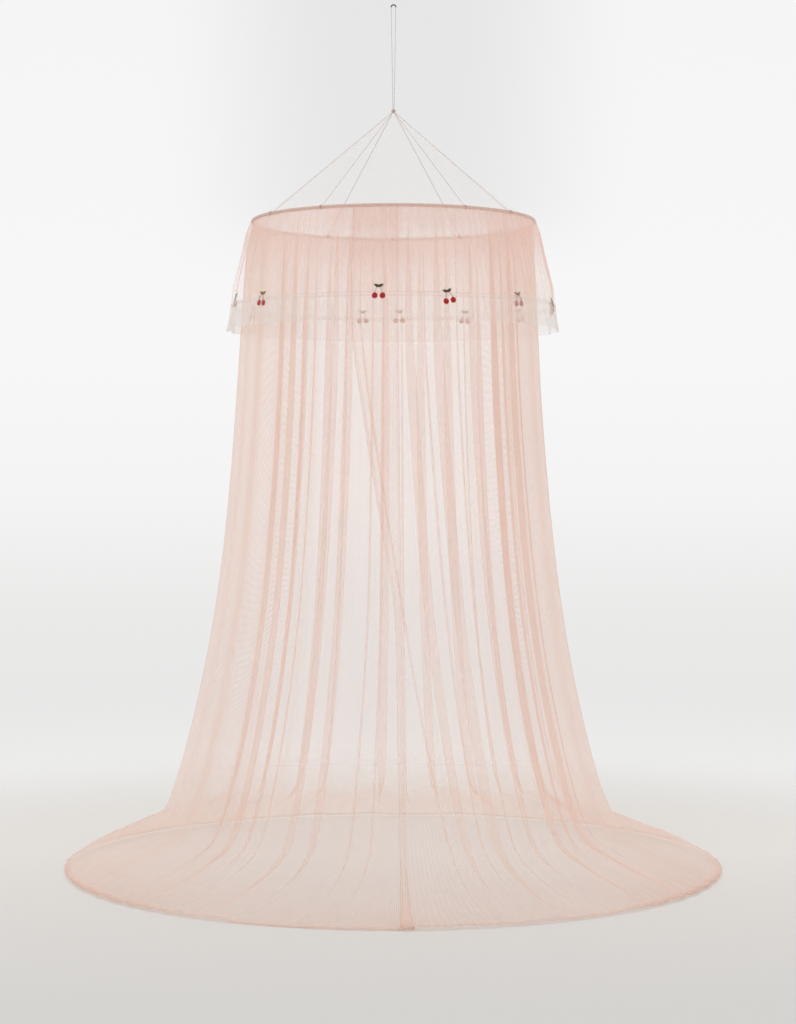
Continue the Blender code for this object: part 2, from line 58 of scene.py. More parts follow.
camera_data = bpy.data.cameras.new("camera")
camera_data.lens = lens_mm
camera_data.sensor_width = 36.0
camera_data.shift_y = horizon_shift
camera_data.clip_end = 200.0
camera = new_object("camera", camera_data)
camera.location = (eye_right, -eye_distance, eye_height - hook_height)
camera.rotation_euler = (math.radians(90.0), 0.0, 0.0)
bpy.context.scene.camera = camera
bpy.context.scene.view_settings.view_transform = "Standard"
bpy.context.scene.cycles.transparent_max_bounces = 64

# surround: brightness by the height looked at, as (sine of the angle, r, g, b)
surround_bands = (
    (-1.00, 0.660, 0.650, 0.630),
    (-0.24, 0.665, 0.655, 0.635),
    (-0.165, 0.775, 0.765, 0.745),
    (-0.137, 0.850, 0.848, 0.843),
    (-0.100, 0.805, 0.805, 0.800),
    (-0.060, 0.825, 0.822, 0.818),
    (-0.010, 0.900, 0.900, 0.900),
    (0.060, 0.932, 0.932, 0.932),
    (0.120, 0.925, 0.925, 0.925),
    (0.225, 0.912, 0.912, 0.912),
    (0.45, 0.90, 0.90, 0.90),
    (1.00, 1.00, 0.99, 0.98),
)
# a soft shade on the wall above and behind the hoop
shade_left = 0.87
shade_half_widths = (0.02, 0.115)
shade_heights = (0.09, 0.135)


def feed(tree, node, given):
    """Sets a node's inputs; another node given stands for its first output."""
    for name, value in given.items():
        if isinstance(value, bpy.types.Node):
            value = value.outputs[0]
        if isinstance(value, bpy.types.NodeSocket):
            tree.links.new(value, node.inputs[name])
        else:
            node.inputs[name].default_value = value


def put(tree, kind, given, **settings):
    """Adds a node with its settings and inputs."""
    node = tree.nodes.new(kind)
    for name, value in settings.items():
        setattr(node, name, value)
    feed(tree, node, given)
    return node


def calc(tree, operation, *given):
    """Adds a maths node."""
    return put(tree, "ShaderNodeMath", dict(enumerate(given)), operation=operation)


def spread(tree, value, start, stop, onto=(0.0, 1.0), way="LINEAR"):
    """Adds a map of a value from one range onto another."""
    return put(tree, "ShaderNodeMapRange",
               {"Value": value, "From Min": start, "From Max": stop, "To Min": onto[0],
                "To Max": onto[1]}, interpolation_type=way)


def ramp(tree, along, stops):
    """Adds a colour ramp with stops of (position, red, green, blue)."""
    node = put(tree, "ShaderNodeValToRGB", {"Fac": along})
    elements = node.color_ramp.elements
    while len(elements) > len(stops):
        elements.remove(elements[-1])
    while len(elements) < len(stops):
        elements.new(0.5)
    for element, (position, *color) in zip(elements, stops):
        element.position = position
        element.color = (*color, 1.0)
    return node


world = bpy.data.worlds.new("studio")
bpy.context.scene.world = world
world.use_nodes = True
sky = world.node_tree
sky_place = put(sky, "ShaderNodeTexCoord", {})
sky_parts = put(sky, "ShaderNodeSeparateXYZ", {0: sky_place.outputs["Generated"]}).outputs
sky_share = spread(sky, sky_parts["Z"], -1.0, 1.0)
bands = ramp(sky, sky_share, [(0.5 + 0.5 * sine, *color) for sine, *color in surround_bands])
shade_across = spread(sky, calc(sky, "ABSOLUTE", sky_parts["X"]), *shade_half_widths,
                      (1.0 - shade_left, 0.0), "SMOOTHSTEP")
shade_up = spread(sky, sky_parts["Z"], *shade_heights, way="SMOOTHSTEP")
shade = calc(sky, "MULTIPLY", shade_across, shade_up)
strength = calc(sky, "SUBTRACT", 1.0, shade)
feed(sky, sky.nodes["Background"], {"Color": bands, "Strength": strength})

floor_reach = 3.4
floor_fade = (1.25, 2.9)     # distances between which the floor melts away
# painted shade: the floor's colour is darker towards the front and lighter towards the back
floor_shade_depths = (-1.7, 0.2)   # Y from the front tone to the back tone
floor_shade_tones = ((0.0, 0.672, 0.660, 0.642), (1.0, 0.80, 0.785, 0.76))


def new_finish(name, given):
    """Material whose surface shader has these inputs."""
    finish = bpy.data.materials.new(name)
    finish.use_nodes = True
    shader = finish.node_tree.nodes["Principled BSDF"]
    feed(finish.node_tree, shader, given)
    return finish, finish.node_tree, shader


floor_mesh = bpy.data.meshes.new("floor")
floor_shape = bmesh.new()
bmesh.ops.create_circle(floor_shape, cap_ends=True, segments=96, radius=floor_reach)
for vert in floor_shape.verts:
    vert.co.z = -hook_height
floor_shape.to_mesh(floor_mesh)
floor_shape.free()
floor = new_object("floor", floor_mesh)
floor_look, floor_tree, paper = new_finish(
    "floor_paper", {"Roughness": 0.85, "Specular IOR Level": 0.2})
floor_spot = put(floor_tree, "ShaderNodeTexCoord", {}).outputs["Object"]
floor_parts = put(floor_tree, "ShaderNodeSeparateXYZ", {0: floor_spot}).outputs
# painted shade: the floor's base colour runs from the darker front tone to the lighter back tone
floor_shade_share = spread(floor_tree, floor_parts["Y"], *floor_shade_depths)
feed(floor_tree, paper, {"Base Color": ramp(floor_tree, floor_shade_share, floor_shade_tones)})
flat_spot = put(floor_tree, "ShaderNodeMapping",
                {"Vector": floor_spot, "Scale": (1.0, 1.0, 0.0)})
reach = put(floor_tree, "ShaderNodeVectorMath", {0: flat_spot}, operation="LENGTH")
fade = spread(floor_tree, reach.outputs["Value"], *floor_fade, way="SMOOTHSTEP")
clear_floor = put(floor_tree, "ShaderNodeBsdfTransparent", {})
floor_mix = put(floor_tree, "ShaderNodeMixShader", {"Fac": fade, 1: paper, 2: clear_floor})
feed(floor_tree, floor_tree.nodes["Material Output"], {"Surface": floor_mix})
floor.data.materials.append(floor_look)

# (name, place, size, power): large soft panels, all aimed at the canopy
canopy_middle = Vector((0.0, 0.0, -1.2))
panel_rows = (
    ("front_panel", (-2.6, -5.0, 1.2), 2.4, 26.0),
    ("side_panel", (3.6, -1.2, 0.6), 2.0, 4.0),
)
for panel_name, panel_place, panel_size, panel_power in panel_rows:
    panel = bpy.data.lights.new(panel_name, "AREA")
    panel.size = panel_size
    panel.energy = panel_power
    panel_object = new_object(panel_name, panel)
    panel_object.location = panel_place
    aim = canopy_middle - Vector(panel_place)
    panel_object.rotation_euler = aim.to_track_quat("-Z", "Y").to_euler()

# ---- Hanging loop ----
# One length of light grey cord, three strands laid together, doubled from the
# knot up to the ceiling hook and back.
loop_cord_radius = 0.00115
loop_half_width = 0.0070     # strand from the middle at the top bend
loop_foot_half = 0.0018      # strand from the middle at the knot
loop_bend_steps = 24
sleeve_outer = 0.0022
apex_height = 2.280
knot_radius = 0.0066
seat = 0.0004                # gap between pieces that touch
strand_fill = 1.10           # a laid profile's lobes reach past its mean radius
strand_points = 12
strand_lobe = 0.16           # how far the three strands stand out
cord_grey = (0.74, 0.72, 0.70)


def start_tree(name, sizes):
    """Geometry tree with a geometry input and named sizes."""
    tree = bpy.data.node_groups.new(name, "GeometryNodeTree")
    tree.interface.new_socket("Geometry", in_out="INPUT", socket_type="NodeSocketGeometry")
    for size_name in sizes:
        tree.interface.new_socket(size_name, in_out="INPUT", socket_type="NodeSocketFloat")
    tree.interface.new_socket("Geometry", in_out="OUTPUT", socket_type="NodeSocketGeometry")
    return tree, tree.nodes.new("NodeGroupInput").outputs, tree.nodes.new("NodeGroupOutput")


def made_by_tree(name, route, tree, sizes, finish, closed=False):
    """Runs a tree along a route and keeps the result as a plain mesh."""
    curve = bpy.data.curves.new(name + "_route", "CURVE")
    curve.dimensions = "3D"
    line = curve.splines.new("POLY")
    line.points.add(len(route) - 1)
    for point, place in zip(line.points, route):
        point.co = (*place, 1.0)
    line.use_cyclic_u = closed
    carrier = new_object(name + "_route", curve)
    step = carrier.modifiers.new("make", "NODES")
    step.node_group = tree
    sockets = [item.identifier for item in tree.interface.items_tree
               if item.item_type == "SOCKET" and item.in_out == "INPUT"]
    for socket, size in zip(sockets[1:], sizes):
        step[socket] = size
    shape = carrier.evaluated_get(bpy.context.evaluated_depsgraph_get())
    mesh = bpy.data.meshes.new_from_object(shape)
    mesh.name = name
    carrier.modifiers.clear()
    bpy.data.objects.remove(carrier, do_unlink=True)
    mesh.materials.clear()
    mesh.materials.append(finish)
    mesh.shade_smooth()
    return new_object(name, mesh)


def laid_cord_tree():
    """Three-strand profile swept along a route and turned by its lay."""
    tree, given, made = start_tree("laid_cord", ("Radius", "Lay length", "Step"))
    steps = put(tree, "GeometryNodeResampleCurve",
                {"Curve": given["Geometry"], "Length": given["Step"]}, mode="LENGTH")
    along = put(tree, "GeometryNodeSplineParameter", {})
    turns = calc(tree, "DIVIDE", along.outputs["Length"], given["Lay length"])
    twist = calc(tree, "MULTIPLY", turns, 2.0 * math.pi)
    tilt = put(tree, "GeometryNodeSetCurveTilt", {"Curve": steps, "Tilt": twist})
    section = put(tree, "GeometryNodeCurvePrimitiveCircle",
                  {"Resolution": strand_points, "Radius": given["Radius"]})
    number = put(tree, "GeometryNodeInputIndex", {})
    lobe = calc(tree, "COSINE", calc(tree, "MULTIPLY", number, 6.0 * math.pi / strand_points))
    swell = calc(tree, "MULTIPLY_ADD", lobe, strand_lobe, 1.0 - strand_lobe)
    spot_now = put(tree, "GeometryNodeInputPosition", {})
    scaled = put(tree, "ShaderNodeVectorMath", {0: spot_now, "Scale": swell},
                 operation="SCALE")
    shaped = put(tree, "GeometryNodeSetPosition", {"Geometry": section, "Position": scaled})
    sweep = put(tree, "GeometryNodeCurveToMesh",
                {"Curve": tilt, "Profile Curve": shaped, "Fill Caps": True})
    feed(tree, made, {0: put(tree, "GeometryNodeRealizeInstances", {"Geometry": sweep})})
    return tree


def toned(color, share):
    return tuple(min(1.0, c * share) for c in color)


def thread_finish(name, color, fibre, rough=0.8, sheen=0.25):
    """Spun thread: fine fibre streaks, small colour changes, soft sheen."""
    finish, tree, shader = new_finish(name, {"Roughness": rough, "Sheen Weight": sheen})
    where = put(tree, "ShaderNodeTexCoord", {})
    fuzz = put(tree, "ShaderNodeTexNoise",
               {"Vector": where.outputs["Object"], "Scale": fibre, "Detail": 3.0})
    tone = ramp(tree, fuzz, ((0.30, *toned(color, 0.78)), (0.72, *toned(color, 1.12))))
    relief = put(tree, "ShaderNodeBump",
                 {"Height": fuzz, "Strength": 0.35, "Distance": 0.0003})
    feed(tree, shader, {"Base Color": tone, "Normal": relief})
    return finish


loop_thread = thread_finish("loop_cord_cotton", cord_grey, 1400.0)
loop_middle = sleeve_outer - loop_half_width
loop_route = [(-loop_foot_half, 0.0, apex_height - hook_height + knot_radius + seat)]
for bend_step in range(loop_bend_steps + 1):
    bend_angle = math.pi * bend_step / loop_bend_steps
    loop_route.append((-loop_half_width * math.cos(bend_angle), 0.0,
                       loop_middle + loop_half_width * math.sin(bend_angle)))
loop_route.append((loop_foot_half, 0.0, loop_route[0][2]))
laid_cord = laid_cord_tree()
hanging_loop = made_by_tree("hanging_loop_cord", loop_route, laid_cord,
                            (loop_cord_radius * strand_fill, 0.0085, 0.0011), loop_thread)
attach(hanging_loop, "root")
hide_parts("hanging_loop")

# ---- Loop sleeve ----
# A short dark grey moulded sleeve that keeps the cord from wearing on the
# hook, slid on the loop's bend, its two mouths slightly rounded.
sleeve_inner = 0.0016
sleeve_color = (0.13, 0.13, 0.127)
sleeve_sides = 20
sleeve_steps = 48
sleeve_lip_share = 0.14      # of the half length, rounded at each mouth


def sleeve_section(lip):
    """Outer and inner radius at a share of the sleeve's half length."""
    ease = max(0.0, lip - (1.0 - sleeve_lip_share)) / sleeve_lip_share
    return sleeve_outer - 0.00025 * ease ** 2, sleeve_inner + 0.0001 * ease ** 2


def unit_ring(count):
    """(cosine, sine) at equal steps round a circle."""
    turns = [2.0 * math.pi * i / count for i in range(count)]
    return [(math.cos(turn), math.sin(turn)) for turn in turns]


def join_rings(shape, first, second):
    """Faces between two closed rings with as many corners."""
    after = first[1:] + first[:1], second[1:] + second[:1]
    return [shape.faces.new(corners)
            for corners in zip(first, after[0], after[1], second)]


sleeve_mesh = bpy.data.meshes.new("loop_sleeve_cover")
sleeve_shape = bmesh.new()
sleeve_rings = []
for sleeve_step in range(sleeve_steps + 1):
    sleeve_angle = math.pi * sleeve_step / sleeve_steps
    sleeve_out = Vector((-math.cos(sleeve_angle), 0.0, math.sin(sleeve_angle)))
    sleeve_core = Vector((0.0, 0.0, loop_middle)) + sleeve_out * loop_half_width
    sleeve_lip = abs(2.0 * sleeve_step / sleeve_steps - 1.0)
    sleeve_rings.append([
        [sleeve_shape.verts.new(sleeve_core + sleeve_out * size * out
                                + Vector((0.0, size * aside, 0.0)))
         for out, aside in unit_ring(sleeve_sides)]
        for size in sleeve_section(sleeve_lip)])
for ring_a, ring_b in zip(sleeve_rings, sleeve_rings[1:]):
    for skin in (0, 1):
        join_rings(sleeve_shape, ring_a[skin], ring_b[skin])
for ring in (sleeve_rings[0], sleeve_rings[-1]):
    join_rings(sleeve_shape, ring[0], ring[1])
bmesh.ops.recalc_face_normals(sleeve_shape, faces=sleeve_shape.faces)
sleeve_shape.to_mesh(sleeve_mesh)
sleeve_shape.free()
sleeve_mesh.shade_smooth()
sleeve_plastic = thread_finish("sleeve_moulded", sleeve_color, 900.0, 0.42, 0.0)
sleeve_mesh.materials.append(sleeve_plastic)
loop_sleeve = new_object("loop_sleeve_cover", sleeve_mesh)
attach(loop_sleeve, "root")
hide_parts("loop_sleeve")

# ---- Knot ----
# The loop's foot and the six cords are bound together with pinkish thread,
# wound round and over into a small ball.
knot_pink = (0.66, 0.50, 0.45)
# windings, one round and one over: (steps, angle from the top at the start
# and at the end in half turns, first direction and the way turned from it in
# radians, depth in the knot)
knot_windings = (
    (360, 0.10, 0.90, 0.0, 2.0 * math.pi * 9.0, 0.0011),
    (240, 0.90, -0.90, 0.9, 1.3, 0.0006),
)
knot_thread = thread_finish("knot_thread", knot_pink, 1200.0)
knot_middle = apex_height - hook_height
knot_route = []
for knot_steps, polar_first, polar_last, turn_first, turn_by, inset in knot_windings:
    knot_size = knot_radius - inset
    for knot_step in range(knot_steps + 1):
        knot_share = knot_step / knot_steps
        polar = math.pi * (polar_first + (polar_last - polar_first) * knot_share)
        around = turn_first + turn_by * knot_share
        knot_route.append((knot_size * math.sin(polar) * math.cos(around),
                           knot_size * math.sin(polar) * math.sin(around),
                           knot_middle + knot_size * math.cos(polar)))
knot_winding = made_by_tree("apex_knot_winding", knot_route, laid_cord,
                            (0.0010, 0.0060, 0.0010), knot_thread)
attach(knot_winding, "root")
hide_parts("apex_knot")

# ---- Suspension cords ----
# Six thin pinkish cords run straight from the knot to the hoop, where each is
# bound to the casing with a few turns of thread.
hoop_radius = 0.425
hoop_height = 1.942
tube_radius = 0.005
cord_radius = 0.0010
cord_angles = (-57.0, -29.0, 29.0, 53.0, 150.0, -150.0)
cord_pink = (0.80, 0.67, 0.62)
binding_turns = 4
binding_steps = 16           # points to a turn
binding_width = 0.0052
binding_reach = tube_radius + 0.0008
cord_thread = thread_finish("suspension_cord_cotton", cord_pink, 1400.0)
binding_thread = thread_finish("binding_thread", (0.60, 0.45, 0.40), 1400.0)
cord_drop = apex_height - hoop_height
cord_length = math.hypot(hoop_radius, cord_drop)
cord_first = knot_radius + seat
cord_last = cord_length - tube_radius - seat


def around_axis(angle, radius, height):
    """Point at an angle from the front in degrees, a radius and a height."""
    turn = math.radians(angle)
    return Vector((radius * math.sin(turn), -radius * math.cos(turn), height - hook_height))


def on_slope(angle, distance):
    """Point on a cord's line, measured from the knot."""
    return around_axis(angle, distance * hoop_radius / cord_length,
                       apex_height - distance * cord_drop / cord_length)


for cord_number, cord_angle in enumerate(cord_angles, start=1):
    cord_route = [on_slope(cord_angle, distance)
                  for distance in np.linspace(cord_first, cord_last, 9)]
    cord_name = "suspension_cord_%d" % cord_number
    cord_piece = made_by_tree(cord_name + "_laid", cord_route, laid_cord,
                              (cord_radius * strand_fill, 0.0075, 0.0012), cord_thread)
    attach(cord_piece, "root")
    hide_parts(cord_name)
    binding_route = []
    for turn_step in range(binding_turns * binding_steps + 1):
        turn = 2.0 * math.pi * turn_step / binding_steps
        slip = binding_width * (turn_step / (binding_turns * binding_steps) - 0.5)
        binding_route.append(around_axis(cord_angle + math.degrees(slip / hoop_radius),
                                         hoop_radius + binding_reach * math.cos(turn),
                                         hoop_height + binding_reach * math.sin(turn)))
    binding = made_by_tree("cord_binding_%d" % cord_number, binding_route, laid_cord,
                           (0.0007, 0.004, 0.0012), binding_thread)
    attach(binding, "root")

# ---- Hoop ----
# A round wire hoop sewn into a casing of pink cloth tape, which puckers a
# little along its length, lined with paler cloth, with stitches under it.
casing_pink = (0.68, 0.49, 0.42)
casing_pale = (0.94, 0.84, 0.79)
casing_puckers = 210
casing_around = 1260
casing_sides = 12
casing_puff = 0.0004
casing_side_width = 0.0026
seam_drop = 0.0052           # the seam sits low on the casing's outer side


def grid_mesh(name, points, cloth_across, cloth_down, wrap, finish):
    """Thin sheet on a grid of points, top row first, faces outward.

    The UV map holds the place on the flat cloth in metres.
    """
    rows, cols = points.shape[:2]
    spans = cols if wrap else cols - 1
    down_index, along_index = np.meshgrid(np.arange(rows - 1), np.arange(spans), indexing="ij")
    corners = ((0, 0), (0, 1), (1, 1), (1, 0))
    quads = np.stack([(down_index + r) * cols + (along_index + c) % cols
                      for r, c in corners], axis=-1)
    place = np.stack([np.stack((cloth_across[r:rows - 1 + r, c:spans + c],
                                cloth_down[r:rows - 1 + r, :spans]), axis=-1)
                      for r, c in corners], axis=2)
    mesh = bpy.data.meshes.new(name)
    mesh.from_pydata(points.reshape(-1, 3), [], quads.reshape(-1, 4))
    layer = mesh.uv_layers.new(name="UVMap")
    layer.data.foreach_set("uv", place.reshape(-1).astype(np.float32))
    mesh.materials.append(finish)
    mesh.shade_smooth()
    mesh.validate()
    return new_object(name, mesh)


def round_angles(count):
    """Equal steps round the canopy from the front, as an array of angles."""
    return -360.0 * np.arange(count) / count


def place_grid(angle, radius, height):
    """Points from arrays of angle in degrees, radius and height."""
    turn = np.radians(angle)
    return np.stack((radius * np.sin(turn), -radius * np.cos(turn),
                     height - hook_height + 0.0 * angle), axis=-1)


casing_cloth = thread_finish("casing_tape", casing_pink, 2200.0, 0.9, 0.3)
casing_lining = thread_finish("casing_lining", casing_pale, 2200.0, 0.9, 0.3)
casing_angle = round_angles(casing_around)
casing_turn = np.radians(casing_angle)
casing_pucker = 0.5 + 0.5 * np.cos(casing_puckers * casing_turn
                                   + 1.5 * np.sin(7 * casing_turn))
casing_swell = tube_radius - casing_puff + casing_puff * 2.0 * casing_pucker
casing_lines = []
for casing_side in range(casing_sides + 1):
    section_angle = 2.0 * math.pi * casing_side / casing_sides
    casing_lines.append(place_grid(casing_angle,
                                   hoop_radius + casing_swell * math.sin(section_angle),
                                   hoop_height + casing_swell * math.cos(section_angle)))
casing_points = np.array(casing_lines)
casing_across = np.tile(np.arange(casing_around + 1) * 2.0 * math.pi * hoop_radius
                        / casing_around, (casing_sides + 1, 1))
casing_down = np.tile((np.arange(casing_sides + 1) * casing_side_width)[:, None],
                      (1, casing_around))
hoop_casing = grid_mesh("hoop_casing", casing_points, casing_across, casing_down, True,
                        casing_cloth)
hoop_casing.data.materials.append(casing_lining)
casing_inside = np.arange(casing_sides * casing_around) >= casing_sides * casing_around // 2
hoop_casing.data.polygons.foreach_set("material_index", casing_inside.astype(np.int32))
casing_shape = bmesh.new()
casing_shape.from_mesh(hoop_casing.data)
bmesh.ops.remove_doubles(casing_shape, verts=casing_shape.verts, dist=0.00001)
casing_shape.to_mesh(hoop_casing.data)
casing_shape.free()
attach(hoop_casing, "root")
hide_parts("hoop")


def stitch_tree():
    """Short round stitches laid end to end along a route, with small gaps."""
    tree, given, made = start_tree("stitch_row", ("Pitch", "Stitch length", "Thread radius"))
    thread = given["Thread radius"]
    spots = put(tree, "GeometryNodeCurveToPoints",
                {"Curve": given["Geometry"], "Length": given["Pitch"]}, mode="LENGTH")
    stitch = put(tree, "GeometryNodeMeshUVSphere", {"Segments": 5, "Rings": 4, "Radius": 1.0})
    half = calc(tree, "MULTIPLY", given["Stitch length"], 0.5)
    size = put(tree, "ShaderNodeCombineXYZ", {"X": thread, "Y": thread, "Z": half})
    lay = put(tree, "GeometryNodeInstanceOnPoints",
              {"Points": spots, "Instance": stitch, "Scale": size,
               "Rotation": spots.outputs["Rotation"]})
    feed(tree, made, {0: put(tree, "GeometryNodeRealizeInstances", {"Geometry": lay})})
    return tree


seam_thread = thread_finish("seam_thread", (0.62, 0.42, 0.36), 1600.0, 0.6, 0.3)
stitch_row = stitch_tree()
casing_seam_route = [around_axis(-float(step), hoop_radius + 0.0062, hoop_height - seam_drop)
                     for step in range(360)]
casing_seam = made_by_tree("casing_stitches", casing_seam_route, stitch_row,
                           (0.0045, 0.0034, 0.00035), seam_thread, True)
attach(casing_seam, "root")

# ---- Crown ----
# A very sheer tulle cone, gathered at the knot and sewn into the hoop's casing,
# sinking a little between the cords that carry it.
crown_top_share = 0.035
crown_sag = 0.16
crown_pleats = 40
crown_pleat_depth = 0.0016
crown_columns = 480
crown_rows = 26
cloth_half = 0.00075
light_through = 0.5          # share of a thread's light that comes from behind
mesh_size = 0.0016


def tulle(name, color, cover, streak, steepest, cloth_size, across=((0.0, 1.0),),
          down=((0.0, 1.0),)):
    """Fine net: clear between its threads, closer where it turns away.

    cover is the share that the threads hide when seen square on, streak how
    much close little gathers change it along the cloth, and steepest the least
    slope at which the net is still seen as a flat layer. across and down are
    tables of how close the gathers lie, by the share of the cloth's size.
    """
    finish, tree, shader = new_finish(name, {
        "Roughness": 0.85, "Sheen Weight": 0.12, "Sheen Roughness": 0.5,
        "Specular IOR Level": 0.25})
    flat_place = put(tree, "ShaderNodeUVMap", {}, uv_map="UVMap")

    def step(operation, *given):
        return calc(tree, operation, *given)

    # little gathers: long streaks down the cloth
    lengthwise = put(tree, "ShaderNodeMapping",
                     {"Vector": flat_place, "Scale": (1.0, 0.035, 1.0)})
    gather = put(tree, "ShaderNodeTexNoise",
                 {"Vector": lengthwise, "Scale": 45.0, "Detail": 1.0})
    gather_share = spread(tree, gather, 0.32, 0.68, (1.0 - streak, 1.0 + streak))

    # the gathers lie closer in some places than in others
    place_parts = put(tree, "ShaderNodeSeparateXYZ", {0: flat_place}).outputs
    local_cover = step("MULTIPLY", gather_share, cover)
    for part, size, table in (("X", cloth_size[0], across), ("Y", cloth_size[1], down)):
        close = ramp(tree, step("DIVIDE", place_parts[part], size),
                     [(spot, share, share, share) for spot, share in table])
        local_cover = step("MULTIPLY", local_cover, close)

    # the net's own cells, set slantwise
    cell_place = put(tree, "ShaderNodeMapping",
                     {"Vector": flat_place, "Rotation": (0.0, 0.0, math.radians(45.0)),
                      "Scale": (math.pi / mesh_size, math.pi / mesh_size, 1.0)})
    ridges = put(tree, "ShaderNodeVectorMath", {0: cell_place}, operation="SINE")
    two_ways = put(tree, "ShaderNodeSeparateXYZ", {0: ridges}).outputs
    crossed = step("MULTIPLY", two_ways["X"], two_ways["Y"])
    threads = step("SUBTRACT", 1.25, step("ABSOLUTE", crossed))

    # more thread is met where the cloth turns away
    turned = put(tree, "ShaderNodeLayerWeight", {"Blend": 0.5})
    square_on = step("MAXIMUM", step("SUBTRACT", 1.0, turned.outputs["Facing"]), steepest)
    hidden = step("MULTIPLY", local_cover, threads)
    seen_through = step("POWER", step("SUBTRACT", 1.0, hidden), step("DIVIDE", 1.0, square_on))
    covered = step("SUBTRACT", 1.0, seen_through)

    # dye: slow changes of tone
    where = put(tree, "ShaderNodeTexCoord", {})
    cloud = put(tree, "ShaderNodeTexNoise",
                {"Vector": where.outputs["Object"], "Scale": 3.0, "Detail": 1.0})
    dye = ramp(tree, cloud, ((0.3, *toned(color, 0.975)), (0.7, *toned(color, 1.02))))
    feed(tree, shader, {"Base Color": dye})
    glow = put(tree, "ShaderNodeBsdfTranslucent", {"Color": dye})
    cloth = put(tree, "ShaderNodeMixShader", {"Fac": light_through, 1: shader, 2: glow})
    clear = put(tree, "ShaderNodeBsdfTransparent", {})
    blend = put(tree, "ShaderNodeMixShader", {"Fac": covered, 1: clear, 2: cloth})
    feed(tree, tree.nodes["Material Output"], {"Surface": blend})
    return finish


def cloth_places(points, row_for_width, wrap):
    """Flat place of each point: across from one row, down along each column."""
    ring = points[row_for_width]
    if wrap:
        ring = np.concatenate((ring, ring[:1]))
    across = np.concatenate(([0.0], np.cumsum(np.linalg.norm(np.diff(ring, axis=0), axis=1))))
    down = np.concatenate((np.zeros((1, points.shape[1])),
                           np.cumsum(np.linalg.norm(np.diff(points, axis=0), axis=2), axis=0)))
    down = np.repeat(down.mean(axis=1, keepdims=True), points.shape[1], axis=1)
    return np.repeat(across[None, :], points.shape[0], axis=0), down


def round_cloth(name, lines, width_row, length, look, **close):
    """Closed round of tulle on its lines, the top one first."""
    points = np.array(lines)
    across, down = cloth_places(points, width_row, True)
    finish = tulle(*look, (across[0, -1], length), **close)
    return grid_mesh(name, points, across, down, True, finish)


def between_cords(angle):
    """0 on a cord, up to 1 halfway to the next, as an array."""
    spots = sorted(a % 360.0 for a in cord_angles)
    spots.append(spots[0] + 360.0)
    here = np.where(angle % 360.0 < spots[0], angle % 360.0 + 360.0, angle % 360.0)
    out = np.zeros_like(here)
    for low, high in zip(spots, spots[1:]):
        inside = (here >= low) & (here <= high)
        wide = math.sin(math.radians(0.5 * (high - low)))
        out[inside] = np.sin(np.pi * (here[inside] - low) / (high - low)) * wide
    return out


crown_angle = round_angles(crown_columns)
crown_turn = np.radians(crown_angle)
crown_first = cord_length * crown_top_share
crown_last = cord_length - tube_radius - 2.0 * seat
crown_lean = cord_radius + seat + cloth_half + 0.0006
slope_out = hoop_radius / cord_length
slope_down = cord_drop / cord_length
crown_wave = np.sin(crown_pleats * crown_turn + 1.2 * np.sin(3.0 * crown_turn))
crown_lines = []
for crown_row in range(crown_rows):
    crown_share = crown_row / (crown_rows - 1)
    middle_share = crown_share * (1.0 - crown_share)
    along_slope = crown_first + (crown_last - crown_first) * crown_share
    sink = 1.0 - crown_sag * between_cords(crown_angle) * 4.0 * middle_share
    pleat = (crown_pleat_depth * math.sin(math.pi * min(1.0, 0.12 + crown_share)) ** 0.5
             * crown_wave)
    fall = crown_lean + np.abs(pleat) * min(1.0, 6.0 * middle_share + 0.1)
    crown_radius_now = (along_slope * slope_out - fall * slope_down) * sink
    crown_height_now = apex_height - along_slope * slope_down - fall * slope_out
    crown_lines.append(place_grid(crown_angle, crown_radius_now, crown_height_now))
crown_cloth = round_cloth("crown_tulle_cone", crown_lines, crown_rows - 1, 1.0,
                          ("crown_tulle_fine", (0.92, 0.80, 0.74), 0.026, 0.10, 0.30))
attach(crown_cloth, "root")
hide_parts("crown")

# ---- Net ----
# One long sheet of pale pink tulle, gathered on the hoop, its hemmed edges
# lapped at the front, its foot spreading into a round skirt on the floor.
# Edges and foot are turned in once and stitched.
# (side height, side radius, front height, front radius,
#  back height, back radius, fold share, pleat share)
net_levels = np.array((
    (1.9372, 0.4250, 1.9372, 0.4250, 1.9372, 0.4250, 0.00, 0.00),
    (1.8600, 0.4310, 1.8600, 0.4310, 1.8600, 0.4310, 0.65, 0.42),
    (1.7400, 0.4390, 1.7400, 0.4390, 1.7400, 0.4390, 0.80, 0.70),
    (1.5800, 0.4470, 1.5800, 0.4470, 1.5800, 0.4470, 0.90, 0.90),
    (1.4000, 0.4570, 1.4000, 0.4550, 1.4000, 0.4560, 1.00, 1.00),
    (1.2000, 0.4720, 1.2000, 0.4690, 1.2000, 0.4710, 1.00, 1.00),
    (0.9900, 0.4920, 0.9900, 0.4880, 0.9900, 0.4900, 1.00, 1.00),
    (0.8000, 0.5160, 0.8000, 0.5110, 0.8000, 0.5130, 1.05, 1.00),
    (0.6300, 0.5440, 0.6300, 0.5380, 0.6300, 0.5410, 1.10, 1.00),
    (0.4700, 0.5770, 0.4700, 0.5710, 0.4700, 0.5740, 1.15, 1.00),
    (0.3300, 0.6120, 0.3200, 0.6100, 0.3300, 0.6100, 1.20, 1.00),
    (0.2200, 0.6460, 0.2000, 0.6520, 0.2150, 0.6460, 1.20, 0.95),
    (0.1500, 0.6820, 0.1250, 0.6960, 0.1400, 0.6880, 1.10, 0.80),
    (0.1200, 0.7500, 0.0800, 0.7520, 0.1030, 0.7420, 1.00, 0.60),
    (0.0880, 0.8250, 0.0480, 0.8150, 0.0750, 0.8080, 0.90, 0.40),
    (0.0540, 0.9080, 0.0210, 0.8950, 0.0450, 0.8720, 0.55, 0.30),
    (0.0075, 0.9850, 0.0060, 0.9780, 0.0065, 0.9250, 0.15, 0.20),
))
fold_stations = np.array((0.00, 0.16, 0.80, 1.58))   # heights of the folds' angles
